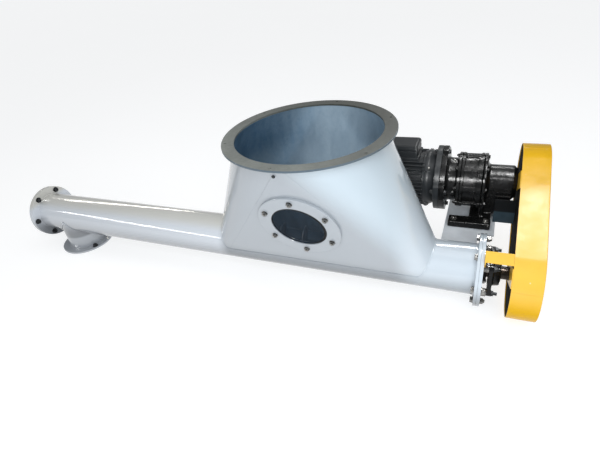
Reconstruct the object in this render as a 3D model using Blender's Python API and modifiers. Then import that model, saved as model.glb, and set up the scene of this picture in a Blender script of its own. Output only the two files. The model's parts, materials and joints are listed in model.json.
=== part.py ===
"""Tubular screw conveyor with an inlet hopper, a sight glass and a guarded chain drive.

Stations: X runs along the tube axis from the discharge end's flange (0) to the drive end,
Y points away from the sight glass, towards the motor, and Z points up. Every piece is placed in
stations under one empty, which moves the whole assembly so that the world's origin lies on
the inlet ring's flat top face, over the tube axis, on the side towards the drive. Sizes are in metres.
"""
import math

import bmesh
import bpy
from mathutils import Matrix, Vector

GAP = 0.0003            # left between solids that touch
RUN_GAP = 0.0006        # between a shaft and the bore that carries it
SEGMENTS = 48           # facets on large round pieces
FINE_SEGMENTS = 24      # facets on shafts and bosses

# Conveyor tube
TUBE_R = 0.1095
TUBE_WALL = 0.005
TUBE_BORE_R = TUBE_R - TUBE_WALL
PLATE_T = 0.012         # flanges, end plates and base plate
FLANGE_R = 0.155
FLANGE_BORE_R = TUBE_R + GAP
TUBE_START_X = -PLATE_T
TUBE_END_X = 2.543

# Discharge spout
SPOUT_X = 0.190
SPOUT_R = 0.1095
SPOUT_FACE_Z = -0.204   # lower face of the discharge flange

# Inlet hopper: a round mouth over a long slot with round ends
INLET_X = 1.836
MOUTH_R = 0.314
SLOT_HALF = 0.460       # from the inlet's centre to the centre of a round end
HOPPER_WALL = 0.004
SEAM_GAP = 0.0004       # along X, at the seams between the hopper's panels
HOPPER_TOP_Z = 0.5943
SLOT_EDGE_Z = 0.012     # height of the tube's cut edges under the hopper
SLOT_CUT_TOP_Z = 0.300
ARC_STEPS = 16          # facets on each half of the hopper
RING_R = 0.3606
RING_BORE_R = 0.308
RING_T = 0.008
RING_HOLES = 6
RING_HOLE_R = 0.006
RING_HOLE_PITCH_R = 0.343
RING_HOLE_START = math.radians(28)
RING_TOP_Z = HOPPER_TOP_Z + GAP + RING_T
RING_MID_R = (RING_R + RING_BORE_R) / 2

# Sight glass on the hopper's flat front
SIGHT_Z = 0.264
SIGHT_X = 1.832
SIGHT_R = 0.182
SIGHT_OPENING_R = 0.122
SIGHT_PANE_R = 0.138
SIGHT_GASKET_T = 0.002
SIGHT_PANE_T = 0.004
SIGHT_COVER_T = 0.005

# Screw
SHAFT_R = 0.0275
PIPE_R = 0.030
PIPE_START_X = 0.020
PIPE_END_X = 2.515
SHAFT_START_X = -0.066
FLIGHT_R = 0.099
FLIGHT_T = 0.005
FLIGHT_PITCH = 0.120
FLIGHT_START_X = 0.040
FLIGHT_TURNS = 20
FLIGHT_STEPS = 18       # facets on each turn

# Bearings
SHAFT_HOLE_R = 0.033
END_PLATE_X = TUBE_END_X + GAP
END_FACE_X = END_PLATE_X + PLATE_T + 0.0017
BEARING_HALF = 0.081
BEARING_BOLT = 0.065
BEARING_X = 2.578
BEARING_T = 0.017
BOSS_R = 0.058
BOSS_T = 0.031
SPACER_R = 0.017
SEAL_R = 0.045
SEAL_T = 0.014

# Chain drive: a small wheel on the reducer turns a large one on the screw
CHAIN_PITCH = 0.0254
DRIVEN_TEETH = 28
DRIVE_TEETH = 20
CENTRE_DISTANCE = 0.4561
DRIVE_TILT = math.radians(26.4)
MOTOR_Y = CENTRE_DISTANCE * math.cos(DRIVE_TILT)
MOTOR_Z = CENTRE_DISTANCE * math.sin(DRIVE_TILT)
CHAIN_X = 2.708
WHEEL_T = 0.014
HUB_R = 0.045
HUB_BACK = 0.028        # hub length on the conveyor's side of the teeth
HUB_FRONT = 0.024
ROLLER_R = 0.0079
TOOTH_TIP = 0.006
LINK_INNER = 0.0078     # from the chain's middle to the inside of its plates
LINK_OUTER = 0.0145
LINK_HALF_HEIGHT = 0.011
SHAFT_END_X = 2.745

# Guard
GUARD_X = 2.660
GUARD_R = 0.180
GUARD_DEPTH = 0.109
GUARD_SHEET = 0.003
GUARD_EDGE_R = 0.008
GUARD_ARC_STEPS = 20
BACK_RECESS = 0.004
CROSS_HALF_HEIGHT = 0.038
CROSS_X = GUARD_X - GAP - GUARD_SHEET
STRAP_ANGLE = math.radians(123.5)
STRAP_W = 0.048
STRAP_T = 0.005
STRAP_TAB_R = 0.112
STAY_Y = 0.320
STAY_T = 0.008

# Motor base
BASE_TOP_Z = 0.041
BASE_LEFT_X = 2.368
BASE_RIGHT_X = 2.587
TONGUE_RIGHT_X = 2.520
BASE_FRONT_Y = 0.207
BASE_BACK_Y = 0.603
GUSSET_XS = (2.388, 2.500)
GUSSET_T = 0.008

# Reducer
FOOT_X = (2.382, 2.567)
FOOT_Y = (0.235, 0.580)
FOOT_T = 0.030
PAD_W = 0.062           # each of the foot's two pads, across the axis
NOSE_R = 0.079
NOSE_END_X = CROSS_X - GAP
NOSE_FLANGE_T = 0.016
WEB_HALF = 0.100
RIB_T = 0.012
RIB_OFFSET = 0.060
RING_GEAR_X = (2.418, 2.512)
RING_GEAR_R = 0.122
INPUT_X = (2.331, RING_GEAR_X[0] - GAP)
INPUT_FLANGE_T = 0.024
INPUT_R = 0.102
OUTPUT_SHAFT_R = 0.025
OUTPUT_BORE_DEPTH = 0.060

# Motor
MOTOR_FLANGE_X = (2.305, INPUT_X[0] - GAP)
MOTOR_FLANGE_R = 0.150
MOTOR_LOBE_R = 0.160
SHIELD_X = (2.258, MOTOR_FLANGE_X[0] - GAP)
SHIELD_R = 0.132
SHIELD_SMALL_R = 0.118
MOTOR_BODY_X = (1.950, SHIELD_X[0] - GAP)
MOTOR_CORE_R = 0.121
MOTOR_FIN_R = 0.136
MOTOR_FINS = 36
FAN_COVER_X = (1.880, MOTOR_BODY_X[0] - GAP)
FAN_COVER_R = 0.138
BOX_X = (2.085, 2.222)
BOX_HALF_Y = 0.062
BOX_TOP_Z = 0.387
BOX_SEAT_Z = MOTOR_Z + 0.105
BOX_EDGE_R = 0.018

# Directions in which a flat outline or a turned profile is laid
ALONG_X = (math.pi / 2, 0, math.pi / 2)     # outline in Y and Z, thickness along X
ALONG_Y = (math.pi / 2, 0, 0)               # outline in X and Z, thickness along -Y
ALONG_Z = (0, 0, 0)                         # outline in X and Y, thickness along Z

PAINT = {
    "white_paint": ((0.80, 0.82, 0.84), 0.25, 0.0),
    "bare_steel": ((0.33, 0.33, 0.29), 0.45, 0.8),
    "zinc": ((0.62, 0.63, 0.66), 0.35, 0.9),
    "screw_steel": ((0.30, 0.31, 0.33), 0.45, 0.9),
    "black_cast": ((0.02, 0.02, 0.022), 0.35, 0.2),
    "black_rubber": ((0.02, 0.02, 0.02), 0.7, 0.0),
    "clear_pane": ((0.70, 0.78, 0.82), 0.05, 0.0),
    "yellow_paint": ((0.85, 0.46, 0.01), 0.3, 0.0),
    "grey_paint": ((0.55, 0.58, 0.61), 0.35, 0.0),
    "slate_paint": ((0.035, 0.065, 0.085), 0.4, 0.0),
    "chain_steel": ((0.16, 0.15, 0.14), 0.4, 0.9),
}


def clear_scene():
    """Remove every object, and the collections left empty by that."""
    for obj in list(bpy.data.objects):
        bpy.data.objects.remove(obj, do_unlink=True)
    for collection in list(bpy.data.collections):
        bpy.data.collections.remove(collection)


def new_collection(name):
    """Add a collection to the scene."""
    collection = bpy.data.collections.new(name)
    bpy.context.scene.collection.children.link(collection)
    return collection


clear_scene()
PARTS = new_collection("screw_conveyor")
CUTTERS = new_collection("cutters")


def empty(name, location, parent=None):
    """A point that carries other objects."""
    obj = bpy.data.objects.new(name, None)
    obj.empty_display_size = 0.05
    obj.location = location
    obj.parent = parent
    PARTS.objects.link(obj)
    return obj


STATIONS = empty("stations", (-(INLET_X + RING_MID_R), 0, -RING_TOP_Z))
SCREW_AXIS = empty("screw_axis", (0, 0, 0), STATIONS)
OUTPUT_AXIS = empty("output_axis", (0, MOTOR_Y, MOTOR_Z), STATIONS)


def paint(obj, finish):
    """Give an object a material of its own in one of the finishes."""
    colour, roughness, metallic = PAINT[finish]
    material = bpy.data.materials.new(obj.name + "_" + finish)
    material.use_nodes = True
    shader = material.node_tree.nodes["Principled BSDF"]
    shader.inputs["Base Color"].default_value = (*colour, 1.0)
    shader.inputs["Roughness"].default_value = roughness
    shader.inputs["Metallic"].default_value = metallic
    material.diffuse_color = (*colour, 1.0)
    obj.data.materials.clear()
    obj.data.materials.append(material)


def add(name, mesh, finish, location=(0, 0, 0), rotation=ALONG_Z, parent=None):
    """Add a mesh as a part, or as a cutter when it has no finish."""
    obj = bpy.data.objects.new(name, mesh)
    obj.location = location
    obj.rotation_euler = rotation
    obj.parent = parent or STATIONS
    if finish:
        PARTS.objects.link(obj)
        paint(obj, finish)
    else:
        CUTTERS.objects.link(obj)
        obj.hide_render = True
        obj.display_type = "WIRE"
    return obj


def mesh_from(bm, name):
    """Turn a bmesh into a mesh, with its round faces smooth."""
    mesh = bpy.data.meshes.new(name)
    bm.to_mesh(mesh)
    bm.free()
    mesh.shade_smooth()
    mesh.set_sharp_from_angle(angle=math.radians(35))
    return mesh


def block(name, finish, low, high, bevel=0.0, **placing):
    """A box between two corners."""
    low = Vector(low)
    high = Vector(high)
    bm = bmesh.new()
    bmesh.ops.create_cube(bm, size=1.0)
    bmesh.ops.scale(bm, vec=high - low, verts=bm.verts)
    bmesh.ops.translate(bm, vec=(low + high) / 2, verts=bm.verts)
    obj = add(name, mesh_from(bm, name), finish, **placing)
    if bevel:
        round_edges(obj, bevel, 2)
    return obj


def rod(name, finish, radius, start, end, segments=FINE_SEGMENTS, **placing):
    """A cylinder along its local Z, from one height to another."""
    bm = bmesh.new()
    bmesh.ops.create_cone(
        bm, cap_ends=True, segments=segments, radius1=radius, radius2=radius, depth=end - start
    )
    bmesh.ops.translate(bm, vec=(0, 0, (start + end) / 2), verts=bm.verts)
    return add(name, mesh_from(bm, name), finish, **placing)


def turned(name, finish, profile, closed, segments=SEGMENTS, **placing):
    """Turn a profile of (radius, height) about the local Z axis.

    A closed profile makes a ring, and an open one starts and ends on the axis. Its outer side
    runs from the top to the bottom.
    """
    mesh = bpy.data.meshes.new(name)
    points = [(radius, 0, height) for radius, height in profile]
    edges = [(i, i + 1) for i in range(len(points) - 1)]
    if closed:
        edges.append((len(points) - 1, 0))
    mesh.from_pydata(points, edges, [])
    obj = add(name, mesh, finish, **placing)
    screw = obj.modifiers.new("turn", "SCREW")
    screw.axis = "Z"
    screw.angle = 2 * math.pi
    screw.steps = segments
    screw.render_steps = segments
    screw.use_merge_vertices = True
    screw.merge_threshold = 0.00001
    screw.use_smooth_shade = True
    return obj


def ring(name, finish, outer_r, inner_r, start, end, segments=SEGMENTS, **placing):
    """A flat ring or a length of tube."""
    profile = [(outer_r, end), (outer_r, start), (inner_r, start), (inner_r, end)]
    return turned(name, finish, profile, True, segments, **placing)


def outline(name, finish, splines, thickness, **placing):
    """A flat outline with its holes, as thick as asked and centred on its own plane."""
    curve = bpy.data.curves.new(name, "CURVE")
    curve.dimensions = "2D"
    curve.fill_mode = "BOTH"
    curve.extrude = thickness / 2
    for points in splines:
        spline = curve.splines.new("POLY")
        spline.points.add(len(points) - 1)
        for target, (x, y) in zip(spline.points, points):
            target.co = (x, y, 0, 1)
        spline.use_cyclic_u = True
    drawn = bpy.data.objects.new(name + "_outline", curve)
    bpy.context.scene.collection.objects.link(drawn)
    bpy.context.view_layer.update()
    evaluated = drawn.evaluated_get(bpy.context.evaluated_depsgraph_get())
    bm = bmesh.new()
    bm.from_mesh(bpy.data.meshes.new_from_object(evaluated))
    bmesh.ops.remove_doubles(bm, verts=bm.verts, dist=0.00001)
    bmesh.ops.dissolve_limit(bm, angle_limit=0.0001, verts=bm.verts, edges=bm.edges)
    bpy.data.objects.remove(drawn, do_unlink=True)
    return add(name, mesh_from(bm, name), finish, **placing)


def combine(obj, other, operation="DIFFERENCE"):
    """Cut an object with another one, or join that to it."""
    boolean = obj.modifiers.new(operation.lower(), "BOOLEAN")
    boolean.operation = operation
    boolean.solver = "EXACT"
    boolean.object = other


def weld(obj):
    """Close up the vertices that a cut leaves all but on top of each other."""
    modifier = obj.modifiers.new("weld", "WELD")
    modifier.merge_threshold = 0.00002


def round_edges(obj, width, segments, angle=math.radians(40)):
    """Round the edges that turn by more than an angle."""
    bevel = obj.modifiers.new("round", "BEVEL")
    bevel.width = width
    bevel.segments = segments
    bevel.limit_method = "ANGLE"
    bevel.angle_limit = angle


def circle(radius, count, centre=(0, 0), start=0.0):
    """Points on a circle."""
    steps = [start + 2 * math.pi * i / count for i in range(count)]
    return [(centre[0] + radius * math.cos(a), centre[1] + radius * math.sin(a)) for a in steps]


def arc(centre, radius, first, last, count):
    """Points on an arc, its two ends included."""
    steps = [first + (last - first) * i / count for i in range(count + 1)]
    return [(centre[0] + radius * math.cos(a), centre[1] + radius * math.sin(a)) for a in steps]


def tangent_angle(radius_a, radius_b, distance):
    """The angle, from the line of centres, at which a common outer tangent leaves both circles."""
    return math.acos((radius_a - radius_b) / distance)


def loop(radius_a, radius_b, distance, offset, steps):
    """The outline of a band round two wheels, the first one at the origin, the second along +X."""
    turn = tangent_angle(radius_a, radius_b, distance)
    far = arc((distance, 0), radius_b + offset, -turn, turn, steps)
    near = arc((0, 0), radius_a + offset, turn, 2 * math.pi - turn, steps)
    return far + near


def tilted(points, angle):
    """Points turned about the origin."""
    c = math.cos(angle)
    s = math.sin(angle)
    return [(x * c - y * s, x * s + y * c) for x, y in points]


def tube_cutter():
    """The tube's outer surface with its gap, for what is fitted round it."""
    name = "cut_tube_round"
    placing = {"rotation": ALONG_X}
    return rod(name, None, TUBE_R + GAP, -0.3, 3.0, SEGMENTS, **placing)


def slot_volume():
    """What is cut from the tube under the hopper: the space inside the hopper's wall."""
    bm = bmesh.new()
    rings = []
    for z in (SLOT_EDGE_Z, SLOT_CUT_TOP_Z):
        share = z / HOPPER_TOP_Z
        radius = TUBE_R - HOPPER_WALL + (MOUTH_R - TUBE_R) * share
        half = SLOT_HALF * (1 - share)
        right = arc((half, 0), radius, -math.pi / 2, math.pi / 2, ARC_STEPS)
        left = arc((-half, 0), radius, math.pi / 2, 3 * math.pi / 2, ARC_STEPS)
        rings.append([bm.verts.new((x, y, z)) for x, y in right + left])
    bmesh.ops.contextual_create(bm, geom=rings[0])
    bmesh.ops.contextual_create(bm, geom=rings[1])
    bmesh.ops.bridge_loops(bm, edges=bm.edges[:])
    bmesh.ops.recalc_face_normals(bm, faces=bm.faces)
    return mesh_from(bm, "cut_slot")


def lofted_panel(sections):
    """A panel of even thickness through a row of sections, each with the same count of corners."""
    bm = bmesh.new()
    rows = [[bm.verts.new(corner) for corner in section] for section in sections]
    count = len(rows[0])
    for row, following in zip(rows[:-1], rows[1:]):
        for i in range(count):
            j = (i + 1) % count
            bm.faces.new((row[i], row[j], following[j], following[i]))
    bm.faces.new(rows[0])
    bm.faces.new(rows[-1])
    bmesh.ops.recalc_face_normals(bm, faces=bm.faces)
    return bm


def end_panel(name, side):
    """One of the hopper's two round ends: a half cone over the slot's end, rising to half the mouth."""
    sections = []
    for i in range(ARC_STEPS + 1):
        angle = math.pi * (i / ARC_STEPS - 0.5)
        radial = Vector((side * math.cos(angle), math.sin(angle), 0))
        low = Vector((side * (SLOT_HALF + SEAM_GAP), 0, 0))
        high = Vector((side * SEAM_GAP, 0, HOPPER_TOP_Z))
        corners = [low + radial * TUBE_R, high + radial * MOUTH_R]
        corners += [high + radial * (MOUTH_R - HOPPER_WALL), low + radial * (TUBE_R - HOPPER_WALL)]
        sections.append(corners)
    placing = {"location": (INLET_X, 0, 0)}
    return add(name, mesh_from(lofted_panel(sections), name), "white_paint", **placing)


def flat_panel(name, side):
    """One of the hopper's two flat triangles, between the slot's straight side and the mouth."""
    sections = []
    for inset in (0, HOPPER_WALL):
        low_y = side * (TUBE_R - inset)
        high = (0, side * (MOUTH_R - inset), HOPPER_TOP_Z)
        sections.append([(-SLOT_HALF, low_y, 0), (SLOT_HALF, low_y, 0), high])
    placing = {"location": (INLET_X, 0, 0)}
    return add(name, mesh_from(lofted_panel(sections), name), "white_paint", **placing)


def make_tube():
    """The conveyor tube with its inlet slot and its outlet, and its two end flanges."""
    along = {"rotation": ALONG_X}
    tube = ring("conveyor_tube", "white_paint", TUBE_R, TUBE_BORE_R, TUBE_START_X, TUBE_END_X, **along)
    combine(tube, add("cut_slot", slot_volume(), None, location=(INLET_X, 0, 0)))
    outlet = rod("cut_outlet", None, SPOUT_R - TUBE_WALL, -0.3, 0, SEGMENTS, location=(SPOUT_X, 0, 0))
    combine(tube, outlet)
    weld(tube)
    ring("discharge_end_flange", "white_paint", FLANGE_R, FLANGE_BORE_R, -PLATE_T, 0, **along)
    start = TUBE_END_X - PLATE_T
    ring("drive_end_flange", "white_paint", FLANGE_R, FLANGE_BORE_R, start, TUBE_END_X, **along)
    end = TUBE_START_X - GAP
    ring("discharge_end_cover", "white_paint", FLANGE_R, SHAFT_HOLE_R, end - PLATE_T, end, **along)
    ring("drive_end_plate", "white_paint", FLANGE_R, SHAFT_HOLE_R, END_PLATE_X, END_FACE_X, **along)


def make_spout(round_cutter):
    """The discharge spout, fitted to the tube's underside, and its flange."""
    at = {"location": (SPOUT_X, 0, 0)}
    bore = SPOUT_R - TUBE_WALL
    spout = ring("discharge_spout", "white_paint", SPOUT_R, bore, SPOUT_FACE_Z, -0.001, **at)
    combine(spout, round_cutter)
    weld(spout)
    top = SPOUT_FACE_Z + PLATE_T
    ring("discharge_flange", "white_paint", FLANGE_R, SPOUT_R + GAP, SPOUT_FACE_Z, top, **at)


def sight_placing(height):
    """Where a piece of the sight glass lies, at a height above the hopper's flat front."""
    slope = math.atan2(MOUTH_R - TUBE_R, HOPPER_TOP_Z)
    front_y = -(TUBE_R + (MOUTH_R - TUBE_R) * SIGHT_Z / HOPPER_TOP_Z)
    outward = Vector((0, -math.cos(slope), -math.sin(slope)))
    place = Vector((SIGHT_X, front_y, SIGHT_Z)) + outward * height
    return {"location": place, "rotation": (math.pi / 2 + slope, 0, 0)}


def make_hopper(round_cutter):
    """The hopper's four panels and its flanged ring."""
    panels = [
        end_panel("hopper_discharge_end", -1), end_panel("hopper_drive_end", 1),
        flat_panel("hopper_front", -1), flat_panel("hopper_back", 1),
    ]
    for panel in panels:
        combine(panel, round_cutter)
    cutter = rod("cut_sight", None, SIGHT_OPENING_R, -0.03, 0.03, SEGMENTS, **sight_placing(0))
    combine(panels[2], cutter)
    for panel in panels:
        weld(panel)

    at = {"location": (INLET_X, 0, 0)}
    bottom = HOPPER_TOP_Z + GAP
    inlet_ring = ring("inlet_flange_ring", "bare_steel", RING_R, RING_BORE_R, bottom, RING_TOP_Z, **at)
    for i in range(RING_HOLES):
        angle = RING_HOLE_START + 2 * math.pi * i / RING_HOLES
        x = INLET_X + RING_HOLE_PITCH_R * math.cos(angle)
        y = RING_HOLE_PITCH_R * math.sin(angle)
        name = "cut_ring_hole_%d" % (i + 1)
        hole = rod(name, None, RING_HOLE_R, bottom - 0.01, RING_TOP_Z + 0.01, 12, location=(x, y, 0))
        combine(inlet_ring, hole)


def make_sight_glass():
    """A glazed opening: seat, gasket, pane and cover ring, outwards from the hopper's wall."""
    seat_t = SIGHT_GASKET_T + SIGHT_PANE_T + GAP
    seat_r = SIGHT_PANE_R + 2 * GAP
    ring("sight_glass_seat", "white_paint", SIGHT_R, seat_r, GAP, GAP + seat_t, **sight_placing(0))
    gasket_top = GAP + SIGHT_GASKET_T
    inner = SIGHT_OPENING_R - 0.003
    ring("sight_glass_gasket", "black_rubber", SIGHT_PANE_R, inner, GAP, gasket_top, **sight_placing(0))
    pane_bottom = gasket_top + GAP
    pane_top = pane_bottom + SIGHT_PANE_T - GAP
    rod("sight_glass_pane", "clear_pane", SIGHT_PANE_R, pane_bottom, pane_top, SEGMENTS, **sight_placing(0))
    low = 2 * GAP + seat_t
    high = low + SIGHT_COVER_T
    ring("sight_glass_cover", "white_paint", SIGHT_R, SIGHT_OPENING_R, low, high, **sight_placing(0))


def flange_bearing(name, face_x, direction):
    """A square flanged bearing with a round boss, with its face at a station."""
    corner = 0.022
    half = BEARING_HALF - corner
    points = []
    for i, (x, y) in enumerate([(half, half), (-half, half), (-half, -half), (half, -half)]):
        points += arc((x, y), corner, i * math.pi / 2, (i + 1) * math.pi / 2, 4)
    bore = SHAFT_R + RUN_GAP
    flange_x = face_x + direction * BEARING_T / 2
    body = outline(
        name, "black_cast", [points, circle(bore, FINE_SEGMENTS)], BEARING_T,
        location=(flange_x, 0, 0), rotation=ALONG_X,
    )
    start = face_x + direction * (BEARING_T - 0.004)
    end = face_x + direction * (BEARING_T + BOSS_T)
    low = min(start, end)
    high = max(start, end)
    boss = ring("join_" + name, None, BOSS_R, bore, low, high, FINE_SEGMENTS, rotation=ALONG_X)
    combine(body, boss, "UNION")
    return body


def make_bearings():
    """The drive end's seal, spacers and bearing, and the tail bearing on the discharge cover."""
    start = END_FACE_X + GAP
    bore = SHAFT_R + RUN_GAP
    ring("shaft_seal", "black_rubber", SEAL_R, bore, start, start + SEAL_T, FINE_SEGMENTS, rotation=ALONG_X)
    flange_bearing("drive_bearing", BEARING_X, 1)
    flange_bearing("tail_bearing", TUBE_START_X - PLATE_T - 2 * GAP, -1)
    signs = [(-1, 1), (-1, -1), (1, -1), (1, 1)]
    for i, (y, z) in enumerate(signs):
        place = (0, y * BEARING_BOLT, z * BEARING_BOLT)
        name = "bearing_spacer_%d" % (i + 1)
        rod(name, "zinc", SPACER_R, END_FACE_X + GAP, BEARING_X - GAP, 16, location=place, rotation=ALONG_X)


def make_screw():
    """The screw's shaft with its thicker pipe, and the flight round it."""
    profile = [
        (0, SHAFT_END_X), (SHAFT_R, SHAFT_END_X), (SHAFT_R, PIPE_END_X), (PIPE_R, PIPE_END_X),
        (PIPE_R, PIPE_START_X), (SHAFT_R, PIPE_START_X), (SHAFT_R, SHAFT_START_X), (0, SHAFT_START_X),
    ]
    on_screw = {"rotation": ALONG_X, "parent": SCREW_AXIS}
    turned("screw_shaft", "screw_steel", profile, False, FINE_SEGMENTS, **on_screw)
    inner = PIPE_R / math.cos(math.pi / FLIGHT_STEPS) + GAP
    mesh = bpy.data.meshes.new("screw_flight")
    mesh.from_pydata([(FLIGHT_R, 0, 0), (inner, 0, 0)], [(0, 1)], [])
    place = (FLIGHT_START_X, 0, 0)
    flight = add("screw_flight", mesh, "screw_steel", location=place, **on_screw)
    helix = flight.modifiers.new("helix", "SCREW")
    helix.axis = "Z"
    helix.angle = 2 * math.pi
    helix.screw_offset = FLIGHT_PITCH
    helix.iterations = FLIGHT_TURNS
    helix.steps = FLIGHT_STEPS
    helix.render_steps = FLIGHT_STEPS
    plate = flight.modifiers.new("plate", "SOLIDIFY")
    plate.thickness = FLIGHT_T
    plate.offset = 0


def pitch_radius(teeth):
    """The radius of the circle on which a chain's rollers lie."""
    return CHAIN_PITCH / (2 * math.sin(math.pi / teeth))


def chain_run():
    """The chain's tangent angle, and its straight run and first arc in links."""
    turn = tangent_angle(pitch_radius(DRIVEN_TEETH), pitch_radius(DRIVE_TEETH), CENTRE_DISTANCE)
    straight = CENTRE_DISTANCE * math.sin(turn) / CHAIN_PITCH
    near_arc = (2 * math.pi - 2 * turn) * DRIVEN_TEETH / (2 * math.pi)
    return turn, straight, near_arc


def wheel(name, teeth, bore_r, parent, phase):
    """A toothed wheel with its hub. phase is the angle of one of the gaps between its teeth."""
    pitch_r = pitch_radius(teeth)
    step = 2 * math.pi / teeth
    form = [(0.0, -ROLLER_R - 0.0006), (0.24, -0.0066), (0.40, TOOTH_TIP)]
    points = []
    for i in range(teeth):
        start = phase + DRIVE_TILT + i * step
        for share, height in form + [(1 - share, height) for share, height in reversed(form[1:])]:
            angle = start + share * step
            points.append(((pitch_r + height) * math.cos(angle), (pitch_r + height) * math.sin(angle)))
    disc = outline(
        name, "chain_steel", [points, circle(bore_r, FINE_SEGMENTS)], WHEEL_T,
        location=(CHAIN_X, 0, 0), rotation=ALONG_X, parent=parent,
    )
    start = CHAIN_X - HUB_BACK
    end = CHAIN_X + HUB_FRONT
    placing = {"rotation": ALONG_X, "parent": parent}
    hub = ring("join_" + name, None, HUB_R, bore_r, start, end, FINE_SEGMENTS, **placing)
    combine(disc, hub, "UNION")


def make_chain_drive():
    """The two toothed wheels and the chain round them."""
    turn, straight, near_arc = chain_run()
    wheel("driven_wheel", DRIVEN_TEETH, SHAFT_R + GAP, SCREW_AXIS, turn)
    at_far_arc = near_arc + straight
    first = math.ceil(at_far_arc) - at_far_arc
    phase = -turn + first * 2 * math.pi / DRIVE_TEETH
    wheel("drive_wheel", DRIVE_TEETH, OUTPUT_SHAFT_R + GAP, OUTPUT_AXIS, phase)

    radii = pitch_radius(DRIVEN_TEETH), pitch_radius(DRIVE_TEETH)
    plates = []
    for side in (-1, 1):
        outer = tilted(loop(*radii, CENTRE_DISTANCE, LINK_HALF_HEIGHT, 16), DRIVE_TILT)
        inner = tilted(loop(*radii, CENTRE_DISTANCE, -LINK_HALF_HEIGHT, 16), DRIVE_TILT)
        name = "drive_chain" if side < 0 else "join_chain_far"
        finish = "chain_steel" if side < 0 else None
        x = CHAIN_X + side * (LINK_INNER + LINK_OUTER) / 2
        thickness = LINK_OUTER - LINK_INNER
        plates.append(outline(name, finish, [outer, inner], thickness, location=(x, 0, 0), rotation=ALONG_X))
    chain = plates[0]
    combine(chain, plates[1], "UNION")
    tilt = Matrix.Rotation(DRIVE_TILT, 2)
    for side in (-1, 1):
        outward = Vector((math.cos(turn), side * math.sin(turn)))
        start = outward * radii[0]
        end = Vector((CENTRE_DISTANCE, 0)) + outward * radii[1]
        for i in range(2, 7):
            y, z = tilt @ start.lerp(end, i / 8)
            name = "join_roller_%s_%d" % ("low" if side < 0 else "high", i)
            half = LINK_OUTER - 0.001
            place = (CHAIN_X, y, z)
            roller = rod(name, None, ROLLER_R, -half, half, 8, location=place, rotation=ALONG_X)
            combine(chain, roller, "UNION")


def guard_outline(radius):
    """The guard's outline in Y and Z."""
    return tilted(loop(radius, radius, CENTRE_DISTANCE, 0, GUARD_ARC_STEPS), DRIVE_TILT)


def make_guard():
    """The guard's cover, its two cross plates, its strap and its stay."""
    middle = GUARD_X + GUARD_DEPTH / 2
    cover = outline(
        "guard_cover", "yellow_paint", [guard_outline(GUARD_R)], GUARD_DEPTH,
        location=(middle, 0, 0), rotation=ALONG_X,
    )
    round_edges(cover, GUARD_EDGE_R, 2)
    inside_depth = GUARD_DEPTH - GUARD_SHEET + 0.02
    inside = outline(
        "cut_guard_inside", None, [guard_outline(GUARD_R - GUARD_SHEET)], inside_depth,
        location=(GUARD_X - 0.02 + inside_depth / 2, 0, 0), rotation=ALONG_X,
    )
    combine(cover, inside)

    motor_hole = circle(SHAFT_HOLE_R, FINE_SEGMENTS, (MOTOR_Y, MOTOR_Z))
    holes = {"lower": circle(SHAFT_HOLE_R, FINE_SEGMENTS), "upper": motor_hole}
    back_outline = guard_outline(GUARD_R - GUARD_SHEET - GAP)
    back_x = GUARD_X + BACK_RECESS + GUARD_SHEET / 2
    outline(
        "guard_back_plate", "black_cast", [back_outline, *holes.values()], GUARD_SHEET,
        location=(back_x, 0, 0), rotation=ALONG_X,
    )
    for level, z in (("lower", 0), ("upper", MOTOR_Z)):
        splines = [guard_outline(GUARD_R), holes[level]]
        plate = outline(
            "guard_cross_plate_" + level, "yellow_paint", splines, GUARD_SHEET,
            location=(CROSS_X + GUARD_SHEET / 2, 0, 0), rotation=ALONG_X,
        )
        low = (CROSS_X - 0.02, -0.5, z - CROSS_HALF_HEIGHT)
        high = (CROSS_X + 0.02, 1.0, z + CROSS_HALF_HEIGHT)
        combine(plate, block("cut_cross_plate_" + level, None, low, high), "INTERSECT")

    turned_to_rim = (STRAP_ANGLE - math.pi / 2, 0, 0)
    start = END_FACE_X + GAP
    half = STRAP_W / 2
    low = (start, -half, GUARD_R - STRAP_T)
    high = (GUARD_X - GAP, half, GUARD_R)
    strap = block("guard_strap", "yellow_paint", low, high, rotation=turned_to_rim)
    tab_low = (start, -half, STRAP_TAB_R)
    tab_high = (start + STRAP_T, half, GUARD_R - STRAP_T / 2)
    tab = block("join_strap_tab", None, tab_low, tab_high, rotation=turned_to_rim)
    combine(strap, tab, "UNION")

    base = BASE_TOP_Z + GAP
    top = MOTOR_Z - CROSS_HALF_HEIGHT + 0.020
    end = CROSS_X - GAP
    points = [(BASE_RIGHT_X - 0.012, base), (end, base), (end, top), (BASE_RIGHT_X + 0.02, top),
              (BASE_RIGHT_X - 0.012, base + 0.05)]
    outline("guard_stay", "slate_paint", [points], STAY_T, location=(0, STAY_Y, 0), rotation=ALONG_Y)


def make_base(round_cutter):
    """The motor's base plate, welded to the tube, and the gussets under it."""
    points = [
        (BASE_LEFT_X, 0.08), (TONGUE_RIGHT_X, 0.08), (TONGUE_RIGHT_X, BASE_FRONT_Y),
        (BASE_RIGHT_X, BASE_FRONT_Y), (BASE_RIGHT_X, BASE_BACK_Y), (BASE_LEFT_X, BASE_BACK_Y),
    ]
    place = (0, 0, BASE_TOP_Z - PLATE_T / 2)
    base = outline("motor_base_plate", "grey_paint", [points], PLATE_T, location=place)
    combine(base, round_cutter)
    under = BASE_TOP_Z - PLATE_T - GAP
    shape = [(0.04, under), (0.04, -0.085), (0.095, -0.085), (0.56, under - 0.02), (0.56, under)]
    for i, x in enumerate(GUSSET_XS):
        name = "base_gusset_%d" % (i + 1)
        place = (x + GUSSET_T / 2, 0, 0)
        gusset = outline(name, "grey_paint", [shape], GUSSET_T, location=place, rotation=ALONG_X)
        combine(gusset, round_cutter)


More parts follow.
